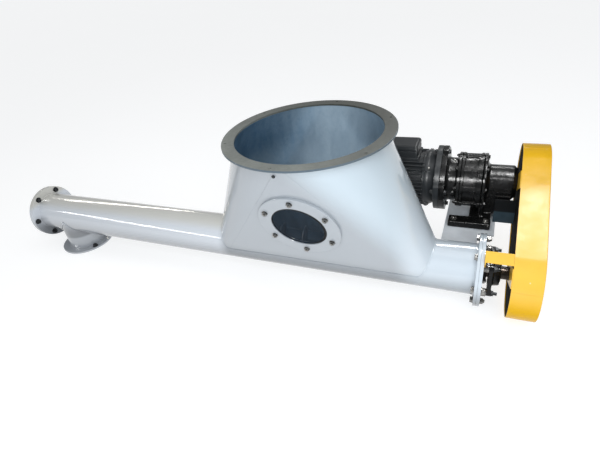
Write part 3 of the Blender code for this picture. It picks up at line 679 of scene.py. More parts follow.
def hopper_form(name, inset, low, high):
    """The hopper's outer form, or one inset from it, between two heights and open at both."""
    def radius(z):
        return hopper_radius(z) - inset

    def half(z):
        return SLOT_HALF * (1 - z / HOPPER_TOP)

    obj = circle(name, radius(high), high, 128)
    edit(obj, lambda p, n: p.x < -0.00001)
    bpy.ops.mesh.delete(type="VERT")
    bpy.ops.mesh.select_all(action="SELECT")
    bpy.ops.transform.translate(value=(half(high), 0, 0))
    down = (half(low) - half(high), 0, low - high)
    bpy.ops.mesh.extrude_region_move(TRANSFORM_OT_translate={"value": down})
    share = radius(low) / radius(high)
    bpy.ops.transform.resize(value=(share, share, 1), center_override=(half(low), 0, low))
    leave()
    mirror = {"use_axis": (True, False, False), "use_mirror_merge": True, "merge_threshold": 0.00005}
    edit(apply(obj, "MIRROR", **mirror))
    for side in (-1, 1):
        pick(lambda p, n: abs(p.y * side - radius(p.z)) < 0.00001)
        bpy.ops.mesh.edge_face_add()
    face_outward()
    return leave()


def straight_line(start, end, steps):
    """Points from one station to another."""
    start, end = Vector(start), Vector(end)
    return [start.lerp(end, i / steps) for i in range(steps + 1)]


def round_line(centre, radius, height, steps=120):
    """A circle of points, level, round a centre."""
    return [(centre[0] + radius * math.cos(a), centre[1] + radius * math.sin(a), height)
            for a in spread(steps)]


def upright_line(x, radius, steps=96):
    """A circle of points round the tube's axis."""
    return [(x, radius * math.cos(a), radius * math.sin(a)) for a in spread(steps)]


def slot_line(steps=40):
    """The line on which the hopper meets the tube's outer surface."""
    widening = MOUTH_R - TUBE_R
    line = []
    for side in (1, -1):
        for i in range(steps + 1):
            angle = math.pi * (i / steps - 0.5)
            across = side * math.sin(angle)
            a = widening ** 2 * across ** 2 + HOPPER_TOP ** 2
            b = 2 * TUBE_R * widening * across ** 2
            c = -(TUBE_R * math.cos(angle)) ** 2
            share = (math.sqrt(b * b - 4 * a * c) - b) / (2 * a)
            radius = TUBE_R + widening * share
            reach = SLOT_HALF * (1 - share) + radius * math.cos(angle)
            line.append((INLET_X + side * reach, radius * across, HOPPER_TOP * share))
        line += straight_line(line[-1], (INLET_X - side * SLOT_HALF, side * TUBE_R, 0), 30)[1:-1]
    return line


def sight_frame():
    """The sight glass's middle on the hopper's flat front, and the turn that lays a piece on it."""
    slope = math.atan2(MOUTH_R - TUBE_R, HOPPER_TOP)
    x, z = SIGHT
    return Vector((x, -hopper_radius(z), z)), Matrix.Rotation(math.pi / 2 + slope, 4, "X")


def hexagon(name, flat, low, high):
    """A hexagon head with its top corners turned off."""
    head = turned(name, [(flat * CORNER_SHARE, low), (flat * CORNER_SHARE, high)], 6)
    slopes = [(flat * 1.45, low - 0.001), (flat * 1.32, high - flat * 0.22), (flat * 0.96, high + 0.0001)]
    return bevel(cut(head, turned("cone", slopes, 32), "INTERSECT"), 0.0004, 1)


def fastener(size, grip=None, washer=True, tail=0.006):
    """A hexagon bolt along Z: its head above height 0 and, with a grip, its nut and thread end below."""
    flat = size * 0.75
    head = size * 0.62
    rise = size * 0.16 if washer else 0.0
    parts = [hexagon("head", flat, rise, rise + head)]
    if grip is not None:
        low = -grip - rise
        nut = turned("nut", [(flat * CORNER_SHARE, low), (flat * CORNER_SHARE, low - head * 1.2)], 6)
        end = low - head * 1.2 - tail
        thread = [(size * 0.5, -grip), (size * 0.5, end + 0.0015), (size * 0.42, end)]
        parts += [bevel(nut, size * 0.07, 2), turned("thread", thread, 20)]
    if washer:
        for low in (0,) if grip is None else (0, -grip - rise):
            parts.append(ring("washer", size * 1.02, size * 0.45, low, low + rise, 28, 0.0003))
    return joined("fastener", parts)


def along_axis(x, radius, angles, centre=(0, 0), turn=ALONG_X):
    """Places on a circle square to the tube's axis, for pieces that point along it."""
    return [station((x, centre[0] + radius * math.cos(a), centre[1] + radius * math.sin(a)), turn)
            for a in angles]


def cast(obj, voxel, passes):
    """Fuse a piece's parts as a casting is, with small fillets where they meet."""
    apply(obj, "REMESH", mode="VOXEL", voxel_size=voxel, adaptivity=0.0, use_smooth_shade=True)
    return apply(obj, "SMOOTH", factor=0.5, iterations=passes)


def flange_unit(name):
    """A square flanged bearing, its face at height 0 and its boss rising along Z."""
    plate = block("plate", (-0.081, -0.081, 0), (0.081, 0.081, BEARING_PLATE_T))
    edit(plate, lambda p, d: abs(d.z) > 0.01 and abs(d.x) + abs(d.y) < 0.001, "EDGE")
    bpy.ops.mesh.bevel(offset=0.022, segments=8)
    leave()
    bevel(plate, 0.0022, 3, 50)
    boss = turned("boss", [
        (0.0282, 0.0005), (0.066, 0.0005), (0.066, 0.015), (0.0625, 0.019), (0.059, 0.0215),
        (0.056, 0.04), (0.0535, 0.044), (0.0495, 0.0452), (0.047, 0.044), (0.0465, 0.0405),
        (0.042, 0.0405), (0.041, 0.047), (0.0395, 0.048), (0.029, 0.048), (0.0282, 0.0472),
    ], 64, closed=True)
    nipple = turned("nipple", [
        (0.0048, 0.05), (0.0048, 0.057), (0.003, 0.0575), (0.0026, 0.061), (0.0034, 0.0635),
        (0.002, 0.066),
    ], 12)
    carry(nipple, Matrix.Translation((0, 0, 0.03)) @ Matrix.Rotation(-math.pi / 2, 4, "X"))
    grub = turned("grub", [(0.0035, 0.038), (0.0035, 0.0432), (0.0022, 0.0434), (0.0022, 0.0418)], 12)
    carry(grub, Matrix.Translation((0, 0, 0.044)) @ Matrix.Rotation(math.pi / 2, 4, "Y"))
    return joined(name, [plate, boss, nipple, grub])


def guard_form(name, radius, low, high):
    """The guard's long rounded outline, drawn up along Z, before it is tilted to the line of centres."""
    obj = turned(name, [(radius, low), (radius, high)], 96)
    obj.data.transform(Matrix.Rotation(math.pi / 96, 4, "Z"))
    edit(obj, lambda p, n: p.x > 0)
    bpy.ops.transform.translate(value=(CENTRES, 0, 0))
    return leave()


def lobed(name, low, high):
    """A round flange with a lobe at each quarter for its bolts."""
    def in_lobe(p, n):
        return abs((math.degrees(math.atan2(p.y, p.x)) + 45) % 90 - 45) < 13

    obj = turned(name, [(0.15, low), (0.15, high)], 96)
    edit(obj, in_lobe)
    bpy.ops.transform.resize(value=(1.0667, 1.0667, 1), center_override=(0, 0, 0))
    return bevel(leave(), 0.0025, 3, 50)


# Settings

class ConveyorSizes(bpy.types.PropertyGroup):
    """Sizes of the small things that the solids leave out."""

    bead_radius: FloatProperty(
        name="Weld bead", description="Radius of the bead between the hopper and the tube",
        default=0.0032, min=0.001, max=0.008, unit="LENGTH")
    flange_bolt: FloatProperty(
        name="Flange bolt", description="Thread diameter of the bolts in the round flanges",
        default=0.016, min=0.008, max=0.024, unit="LENGTH")
    sight_bolt: FloatProperty(
        name="Sight glass bolt", description="Thread diameter of the bolts round the sight glass",
        default=0.012, min=0.006, max=0.016, unit="LENGTH")
    fin_thickness: FloatProperty(
        name="Cooling fin", description="Thickness of the motor's cooling fins at their tips",
        default=0.0046, min=0.0015, max=0.007, unit="LENGTH")
    floor_reach: FloatProperty(
        name="Floor", description="Length of each side of the floor",
        default=90.0, min=5.0, max=200.0, unit="LENGTH")


class ConveyorColours(bpy.types.PropertyGroup):
    """Colours of the main finishes."""

    enamel: FloatVectorProperty(
        name="Enamel", description="Off-white enamel of the tube and the hopper",
        default=(0.47, 0.485, 0.5), size=3, min=0, max=1, subtype="COLOR")
    guard: FloatVectorProperty(
        name="Guard", description="Yellow of the chain guard",
        default=(0.73, 0.405, 0.0045), size=3, min=0, max=1, subtype="COLOR")
    ring: FloatVectorProperty(
        name="Inlet ring", description="Bare rolled steel of the inlet ring",
        default=(0.19, 0.2, 0.182), size=3, min=0, max=1, subtype="COLOR")
    base: FloatVectorProperty(
        name="Motor base", description="Light grey of the motor's base",
        default=(0.62, 0.645, 0.67), size=3, min=0, max=1, subtype="COLOR")


# One operator for each group of pieces

class ConveyorMaker:
    """What the operators share: they run in object mode and can be undone."""

    bl_options = {"REGISTER", "UNDO"}

    @classmethod
    def poll(cls, context):
        return context.mode == "OBJECT"


class CONVEYOR_OT_finishes(ConveyorMaker, bpy.types.Operator):
    """Make the finishes, and give them to the solids that stay in view"""

    bl_idname = "conveyor.finishes"
    bl_label = "Finishes"

    def execute(self, context):
        make_finishes(context.scene.conveyor_colours)
        for part in frame["record"]["subparts"]:
            found = [name for name, slot in SLOTS.items() if slot == part["material_slot"]]
            if not found:
                raise RuntimeError("no finish is made for the slot " + part["material_slot"])
            materials = frame["nodes"][part["node"]].data.materials
            materials.clear()
            materials.append(FINISHES[found[0]])
        return {"FINISHED"}


class CONVEYOR_OT_tube(ConveyorMaker, bpy.types.Operator):
    """Make the conveyor tube, its end flanges, its covers and their weld beads"""

    bl_idname = "conveyor.tube"
    bl_label = "Tube and flanges"

    def execute(self, context):
        bore = TUBE_R - TUBE_WALL
        tube = settle(ring("tube_shell", TUBE_R, bore, -PLATE_T, TUBE_END, 144), turn=ALONG_X)
        slot = hopper_form("slot", HOPPER_WALL, 0.012, 0.3)
        edit(slot)
        bpy.ops.mesh.fill_holes(sides=0)
        cut(tube, settle(leave(), (INLET_X, 0, 0)))
        drill(tube, bore, -0.3, 0, 96, (SPOUT_X, 0, 0), UPRIGHT)
        show(tube, "enamel", "conveyor_tube", angle=30)
        tube.data.materials.append(FINISHES["galvanised"])
        edit(tube, lambda p, n: (p - STATION).yz.length < TUBE_R - 0.003, "FACE")
        tube.active_material_index = 1
        bpy.ops.object.material_slot_assign()
        leave()
        plates = [
            ("discharge_flange_plate", TUBE_R + BORE_GAP, -PLATE_T, 0, "discharge_end_flange"),
            ("discharge_cover_plate", SHAFT_HOLE_R, COVER_FACE, -PLATE_T - GAP, "discharge_end_cover"),
            ("drive_flange_plate", TUBE_R + BORE_GAP, TUBE_END - PLATE_T, TUBE_END, "drive_end_flange"),
            ("drive_cover_plate", SHAFT_HOLE_R, TUBE_END + GAP, END_FACE, "drive_end_plate"),
        ]
        for name, hole, low, high, node in plates:
            place(ring(name, FLANGE_R, hole, low, high, 96, 0.0012), "enamel", node)
        lines = [upright_line(x, TUBE_R + 0.0012) for x in (0.0012, TUBE_END - PLATE_T - 0.0012)]
        welded("flange_weld_beads", "enamel", *[bead(line, BEAD_R, True) for line in lines])
        return {"FINISHED"}


class CONVEYOR_OT_spout(ConveyorMaker, bpy.types.Operator):
    """Make the discharge spout with its flange"""

    bl_idname = "conveyor.spout"
    bl_label = "Discharge spout"

    def execute(self, context):
        middle = (SPOUT_X, 0, 0)
        spout = ring("spout_shell", TUBE_R, TUBE_R - TUBE_WALL, SPOUT_FACE, -0.001, 128)
        drill(settle(spout, middle), TUBE_R - 0.001, -0.3, 0.6, 144)
        show(spout, "enamel", "discharge_spout", angle=30)
        top = SPOUT_FACE + PLATE_T
        flange = ring("spout_flange_plate", FLANGE_R, TUBE_R + BORE_GAP, SPOUT_FACE, top, 96)
        place(bevel(flange, 0.0035, 4, 60), "enamel", "discharge_flange", at=middle, turn=UPRIGHT)
        reach = TUBE_R + 0.0006
        saddle = [(SPOUT_X + reach * math.cos(a), reach * math.sin(a), -reach * abs(math.cos(a)))
                  for a in spread(96)]
        welded("spout_weld_beads", "enamel", bead(saddle, 0.0065, True, 0.03),
               bead(round_line(middle, TUBE_R + 0.001, top + 0.0008), BEAD_R, True))
        return {"FINISHED"}


class CONVEYOR_OT_hopper(ConveyorMaker, bpy.types.Operator):
    """Make the inlet hopper: its shell, white outside and galvanised inside, and its weld beads"""

    bl_idname = "conveyor.hopper"
    bl_label = "Inlet hopper"

    def execute(self, context):
        shell = hopper_form("hopper_shell", 0.0, 0.0, HOPPER_TOP)
        panels = ["hopper_discharge_end", "hopper_drive_end", "hopper_front", "hopper_back"]
        dress(shell, "enamel", *panels)
        shell.data.materials.append(FINISHES["galvanised"])
        apply(shell, "SOLIDIFY", thickness=HOPPER_WALL, offset=-1.0, material_offset=1, material_offset_rim=0)
        drill(settle(shell, (INLET_X, 0, 0)), TUBE_R - 0.002, 1.0, 2.6, 144)
        drill(shell, SIGHT_OPENING, -0.03, 0.03, 96, *sight_frame())
        smooth(shell, 40)
        beads = [bead(slot_line(), context.scene.conveyor_sizes.bead_radius, True, 0.08)]
        for front in (-1, 1):
            for side in (-1, 1):
                low = (INLET_X + side * SLOT_HALF, front * (TUBE_R - 0.0006), 0)
                high = (INLET_X, front * (MOUTH_R - 0.0006), HOPPER_TOP - 0.002)
                size = 0.0012 if front == side == -1 else 0.0005
                beads.append(bead(straight_line(low, high, 150), size, False, 0.3))
        rim = round_line((INLET_X, 0), MOUTH_R + 0.0006, HOPPER_TOP - 0.001)
        welded("hopper_weld_beads", "enamel", *beads, bead(rim, 0.004, True, 0.1))
        spot = (INLET_X - 0.029, -MOUTH_R + 0.015, HOPPER_TOP - 0.048)
        place(fastener(0.008, washer=False), "dark_fastener", at=spot,
              turn=Matrix.Rotation(math.pi / 2 + 0.33, 4, "X"))
        return {"FINISHED"}


class CONVEYOR_OT_inlet_ring(ConveyorMaker, bpy.types.Operator):
    """Make the bare steel ring on top of the hopper, with its bolt holes"""

    bl_idname = "conveyor.inlet_ring"
    bl_label = "Inlet ring"

    def execute(self, context):
        low = HOPPER_TOP + GAP
        plate = ring("inlet_ring_plate", RING_R, RING_BORE, low, low + 0.008, 160, 0.0007)
        settle(plate, (INLET_X, 0, 0))
        for a in spread(6, 28):
            spot = (INLET_X + RING_BOLT_R * math.cos(a), RING_BOLT_R * math.sin(a), 0)
            drill(plate, 0.006, 0.5, 0.7, 24, spot, UPRIGHT)
        show(plate, "raw_ring", "inlet_flange_ring")
        tacks = []
        for angle in (-93.0, -152.0, -31.0, 40.0, 150.0):
            a = math.radians(angle)
            line = [(INLET_X + r * math.cos(a + s), r * math.sin(a + s), low - 0.0006)
                    for r, s in ((0.3165, -0.03), (0.317, -0.01), (0.317, 0.01), (0.3165, 0.03))]
            tacks.append(bead(line, 0.003, False, 0.3))
        welded("ring_tack_welds", "enamel", *tacks)
        return {"FINISHED"}


class CONVEYOR_OT_sight_glass(ConveyorMaker, bpy.types.Operator):
    """Make the sight glass on the hopper's front: frame, gasket, pane and bolts"""

    bl_idname = "conveyor.sight_glass"
    bl_label = "Sight glass"

    def execute(self, context):
        spot, turn = sight_frame()
        held = {"at": spot, "turn": turn}
        seat = ring("sight_glass_base", SIGHT_R, PANE_R + 0.0006, GAP, 0.0066, 128, 0.0004)
        place(seat, "enamel", "sight_glass_seat", **held)
        cover = turned("sight_glass_frame", [
            (SIGHT_OPENING, 0.0069), (SIGHT_R, 0.0069), (SIGHT_R, 0.01), (SIGHT_R - 0.001, 0.0113),
            (SIGHT_R - 0.0028, SIGHT_TOP), (SIGHT_OPENING + 0.0015, SIGHT_TOP), (SIGHT_OPENING, 0.0108),
        ], 128, closed=True)
        place(cover, "enamel", "sight_glass_cover", **held)
        under = ring("sight_glass_seal", PANE_R, 0.119, GAP, 0.0023, 96, 0.0004)
        place(under, "rubber", "sight_glass_gasket", **held)
        # Painted shadow: the rubber lip's inner edge is set off towards the lower left, so that a wider black
        # crescent shows at the upper right, standing for the shadow of the frame's edge.
        lip = ring("sight_glass_lip_and_shadow", 0.137, 0.115, 0.0064, 0.0067, 96)
        edit(lip, lambda p, n: p.xy.length < 0.12)
        bpy.ops.transform.translate(value=(-0.006, -0.0055, 0))
        place(leave(), "rubber", **held)
        glass = bevel(turned("sight_glass_window", [(PANE_R, 0.0026), (PANE_R, 0.0063)], 96), 0.0004, 2, 60)
        place(glass, "pane", "sight_glass_pane", **held)
        size = context.scene.conveyor_sizes.sight_bolt
        end = size * 0.78 + 0.0045
        tip = turned("tip", [(size / 2, 0.004), (size / 2, end - 0.001), (size * 0.42, end)], 20)
        bolt = joined("nut", [fastener(size * 1.1, SIGHT_TOP, tail=0.004), tip])
        places = [station(spot, turn) @ Matrix.Rotation(a, 4, "Z")
                  @ Matrix.Translation((SIGHT_BOLT_R, 0, SIGHT_TOP)) @ Matrix.Rotation(a * 1.7, 4, "Z")
                  for a in spread(6, 30)]
        show(copies(bolt, places, "sight_glass_bolts"), "zinc_plate")
        return {"FINISHED"}


class CONVEYOR_OT_screw(ConveyorMaker, bpy.types.Operator):
    """Make the screw: its shaft and its right-hand flight"""

    bl_idname = "conveyor.screw"
    bl_label = "Screw"

    def execute(self, context):
        shaft = turned("screw_core", [
            (0.0255, 2.745), (0.0275, 2.743), (0.0275, 2.5185), (0.03, 2.515), (0.03, 0.02),
            (0.0275, 0.0165), (0.0275, -0.064), (0.0255, -0.066),
        ], 48)
        place(shaft, "oily_steel", "screw_shaft", body="screw")
        bpy.ops.object.select_all(action="DESELECT")
        bpy.ops.mesh.primitive_grid_add(x_subdivisions=3, y_subdivisions=1, size=1.0)
        flight = named("screw_blade")
        edit(flight, lambda p, n: p.y > 0)
        bpy.ops.mesh.delete(type="VERT")
        bpy.ops.mesh.select_all(action="SELECT")
        bpy.ops.transform.resize(value=(FLIGHT_OUTER - FLIGHT_INNER, 1, 1), center_override=(0, 0, 0))
        bpy.ops.transform.translate(value=((FLIGHT_OUTER + FLIGHT_INNER) / 2, 0.5, 0))
        leave()
        apply(flight, "SCREW", axis="Z", angle=2 * math.pi, screw_offset=FLIGHT_PITCH, iterations=20,
              steps=40, render_steps=40, use_smooth_shade=True)
        edit(apply(flight, "SOLIDIFY", thickness=0.005, offset=0.0))
        face_outward()
        settle(leave(), (0.04, 0, 0), ALONG_X)
        show(bevel(flight, 0.0008, 2, 60), "screw_metal", "screw_flight", body="screw")
        return {"FINISHED"}


class CONVEYOR_OT_bearings(ConveyorMaker, bpy.types.Operator):
    """Make the two flanged bearings with their bolts, the spacers and the shaft seal"""

    bl_idname = "conveyor.bearings"
    bl_label = "Bearings"

    def execute(self, context):
        place(flange_unit("drive_flange_unit"), "gloss_black", "drive_bearing", at=(BEARING_X, 0, 0))
        place(flange_unit("tail_flange_unit"), "gloss_black", "tail_bearing", at=(TAIL_X, 0, 0), turn=BACK_X)
        corners = [(-1, 1), (-1, -1), (1, -1), (1, 1)]
        for i, (y, z) in enumerate(corners, 1):
            spacer = ring("spacer_sleeve_%d" % i, 0.017, 0.0085, END_FACE + GAP, BEARING_X - GAP, 32, 0.0008)
            spot = (0, y * BEARING_BOLT, z * BEARING_BOLT)
            place(spacer, "zinc_plate", "bearing_spacer_%d" % i, at=spot)
        angles = [math.atan2(z, y) for y, z in corners]
        reach = BEARING_BOLT * math.sqrt(2)
        stud = turned("stud", [(0.007, 0.005), (0.007, 0.0235), (0.0058, 0.025)], 20)
        places = along_axis(BEARING_X + BEARING_PLATE_T, reach, angles)
        show(copies(joined("nut", [fastener(0.014), stud]), places, "drive_bearing_bolts"), "dark_fastener")
        places = along_axis(TAIL_X - BEARING_PLATE_T, reach, angles, turn=BACK_X)
        show(copies(fastener(0.014), places, "tail_bearing_bolts"), "dark_fastener")
        seal = turned("shaft_seal_ring", [
            (0.0282, 0.0003), (0.045, 0.0003), (0.045, 0.0095), (0.0435, 0.0125), (0.041, 0.0143),
            (0.0282, 0.0143),
        ], 64, closed=True)
        place(seal, "rubber", "shaft_seal", at=(END_FACE, 0, 0))
        return {"FINISHED"}


class CONVEYOR_OT_guard(ConveyorMaker, bpy.types.Operator):
    """Make the chain guard: cover, back plate, cross plates, strap and stay"""

    bl_idname = "conveyor.guard"
    bl_label = "Chain guard"

    def execute(self, context):
        middle = (GUARD_X, 0, 0)
        cover = guard_form("guard_shell", GUARD_R, 0, GUARD_DEPTH)
        edit(cover, lambda p, n: n.z > 0.9, "FACE")
        bpy.ops.mesh.bevel(offset=0.0035, segments=3, affect="EDGES")
        pick(lambda p, n: n.z < -0.9, "FACE")
        bpy.ops.mesh.delete(type="FACE")
        face_outward()
        leave()
        apply(cover, "SOLIDIFY", thickness=GUARD_SHEET, offset=-1.0)
        place(cover, "guard_yellow", "guard_cover", at=middle, turn=GUARD_TURN, angle=30)
        seams = []
        for y, z, angle in ((MOTOR_Y, MOTOR_Z, 94.6), (0, 0, 163.4)):
            a = math.radians(angle)
            y, z = y + GUARD_R * math.cos(a), z + GUARD_R * math.sin(a)
            line = straight_line((GUARD_X + 0.002, y, z), (GUARD_X + 0.105, y, z), 40)
            seams.append(bead(line, 0.0011, False, 0.2))
        welded("guard_sheet_seams", "guard_yellow", *seams)

        back = guard_form("guard_backing", GUARD_R - GUARD_SHEET - GAP, 0.004, 0.007)
        settle(back, middle, GUARD_TURN)
        for y, z in ((0, 0), MOTOR_CENTRE):
            drill(back, SHAFT_HOLE_R, 2.0, 3.0, 48, (0, y, z))
        show(back, "dull_black", "guard_back_plate")
        for level, y, z in (("lower", 0, 0), ("upper", MOTOR_Y, MOTOR_Z)):
            plate = guard_form("guard_bar_" + level, GUARD_R, 0, GUARD_SHEET)
            settle(plate, (CROSS_X, 0, 0), GUARD_TURN)
            keep = block("keep", (-0.02, -0.5, -0.038), (0.02, 0.055, 0.038))
            settle(keep, (CROSS_X, y, z), Matrix.Rotation(CROSS_TILT, 4, "X"))
            drill(cut(plate, keep, "INTERSECT"), SHAFT_HOLE_R, 2.0, 3.0, 48, (0, y, z))
            show(bevel(plate, 0.0005, 1), "guard_yellow", "guard_cross_plate_" + level)

        start = END_FACE + GAP
        bar = block("bar", (start, -0.024, 0.175), (GUARD_X - GAP, 0.024, 0.18), 0.0012)
        tab = block("tab", (start, -0.024, 0.112), (start + 0.005, 0.024, 0.1775), 0.0012)
        strap = joined("guard_strap_bar", [bar, tab])
        place(strap, "guard_yellow", "guard_strap", turn=Matrix.Rotation(STRAP_LEAN, 4, "X"))
        corner = (GUARD_X + 0.0038, 0.32, 0.162)
        stay = settle(block("guard_stay_plate", (2.575, 0.312, BASE_TOP + GAP), corner))
        show(bevel(stay, 0.0008, 2), "slate", "guard_stay")
        return {"FINISHED"}


class CONVEYOR_OT_base(ConveyorMaker, bpy.types.Operator):
    """Make the motor's base plate with its welds and bolts"""

    bl_idname = "conveyor.base"
    bl_label = "Motor base"

    def execute(self, context):
        low, high = BASE_TOP - PLATE_T, BASE_TOP
        plate = block("base_plate", (2.368, 0.207, low), (2.587, 0.603, high))
        cut(plate, block("tongue", (2.368, 0.101, low + 0.00001), (2.52, 0.3, high - 0.00001)), "UNION")
        show(bevel(settle(plate), 0.001, 2), "base_grey", "motor_base_plate")
        y, z = math.sqrt(TUBE_R ** 2 - high ** 2) + 0.0015, high + 0.0005
        beads = [bead(straight_line((2.369, y, z), (2.519, y, z), 60), 0.0034, False, 0.15)]
        for x in (2.388, 2.396, 2.5, 2.508):
            line = straight_line((x, 0.115, low - 0.001), (x, 0.545, low - 0.001), 90)
            beads.append(bead(line, 0.0024, False, 0.2))
        welded("base_weld_beads", "base_grey", *beads)
        places = [station((x, y, high + 0.0303)) for x in (2.406, 2.546) for y in (0.262, 0.553)]
        show(copies(fastener(0.014, 0.0425, tail=0.004), places, "foot_bolts"), "zinc_plate")
        return {"FINISHED"}


class CONVEYOR_OT_reducer(ConveyorMaker, bpy.types.Operator):
    """Make the foot-mounted reducer: nose with its foot, ring gear, input housing, shaft and bolts"""

    bl_idname = "conveyor.reducer"
    bl_label = "Reducer"

    def execute(self, context):
        start = REDUCER_FACE
        nose = turned("nose", [
            (0.116, start), (0.122, start + 0.002), (0.122, start + 0.015), (0.118, start + 0.0175),
            (0.09, start + 0.019), (0.0825, start + 0.023), (0.079, start + 0.03), (0.0785, 2.642),
            (0.0755, 2.6445), (0.07, 2.6452), (0.069, 2.655), (0.0675, 2.6564), (0.034, 2.6564),
            (0.034, 2.6),
        ], 96)
        base = BASE_TOP + GAP
        web = (start + 0.001, MOTOR_Y - 0.1, base + 0.018), (start + 0.017, MOTOR_Y + 0.1, 0.155)
        parts = [
            block("pad", (2.382, 0.235, base), (2.567, 0.297, base + 0.03), 0.004, 3),
            block("pad", (2.382, 0.518, base), (2.567, 0.58, base + 0.03), 0.004, 3),
            block("bridge", (2.47, 0.24, base + 0.001), (2.566, 0.575, base + 0.028), 0.003, 3),
            block("web", *web, 0.002),
        ]
        for y in (MOTOR_Y - 0.06, MOTOR_Y + 0.06):
            edit(block("rib", (start + 0.002, y - 0.006, base + 0.018), (2.6364, y + 0.006, MOTOR_Z - 0.03)))
            bpy.ops.mesh.bisect(plane_co=(2.565, 0, base + 0.018), plane_no=(0.0776, 0, -0.07),
                                clear_outer=True, use_fill=True)
            parts.append(bevel(leave(), 0.0015, 2))
        parts = [settle(nose, MOTOR_AXIS, ALONG_X)] + [settle(part) for part in parts]
        dress(cast(joined("reducer_nose", parts), 0.003, 5), "gloss_black", "reducer_nose_housing")

        gear = turned("reducer_ring", [
            (0.119, 2.418), (0.1235, 2.42), (0.1235, 2.43), (0.1165, 2.433),
            (0.1165, 2.487), (0.1235, 2.49), (0.1235, 2.51), (0.119, 2.512),
        ], 96)
        place(gear, "gloss_black", "reducer_ring_gear", at=MOTOR_AXIS)
        angles = spread(8, 83)
        ear = turned("ear", [(0.0145, 0.0), (0.0165, 0.0018), (0.0165, 0.0122), (0.0145, 0.014)], 28)
        places = []
        for x in (2.4036, 2.4185, 2.4975, 2.5125):
            places += along_axis(x, REDUCER_BOLT_R, [angles[0], angles[3]], MOTOR_CENTRE)
        show(copies(ear, places, "reducer_bolt_ears"), "gloss_black")
        places = along_axis(2.5262, REDUCER_BOLT_R, angles, MOTOR_CENTRE)
        show(copies(fastener(0.01, 0.1224, tail=0.005), places, "reducer_bolts"), "gloss_black")
        ribs = []
        for chosen, out in ((angles[:1] + angles[3:4], 0.1285), (angles[1:3] + angles[4:], 0.1212)):
            rib = block("rib", (0.108, -0.0115, 2.418), (out, 0.0115, 2.512), 0.003, 3)
            ribs.append(around(rib, chosen))
        place(joined("reducer_ring_ribs", ribs), "gloss_black", at=MOTOR_AXIS)

        housing = turned("housing", [
            (0.12, 2.4177), (0.122, 2.416), (0.122, 2.405), (0.12, 2.403), (0.106, 2.401),
            (0.102, 2.396), (0.102, 2.37), (0.1045, 2.362), (0.11, 2.356), (0.118, 2.3545),
            (0.118, 2.34),
        ], 96)
        case = joined("reducer_input_case", [housing, lobed("flange", 2.331, 2.355)])
        place(case, "gloss_black", "reducer_input_housing", at=MOTOR_AXIS)
        places = []
        for x, angle in ((2.388, 188.0), (2.385, 95.0)):
            out = Matrix.Rotation(math.radians(angle - 90), 4, "X")
            places.append(station((x, MOTOR_Y, MOTOR_Z), out @ Matrix.Translation((0, 0, 0.1015))))
        show(copies(fastener(0.006, washer=False), places, "reducer_plugs"), "zinc_plate")
        profile = [(0.0235, 2.5967), (0.025, 2.5982), (0.025, 2.7435), (0.0235, 2.745)]
        shaft = turned("reducer_shaft_bar", profile, 48)
        place(shaft, "zinc_plate", "reducer_output_shaft", at=MOTOR_AXIS, body="output")
        return {"FINISHED"}


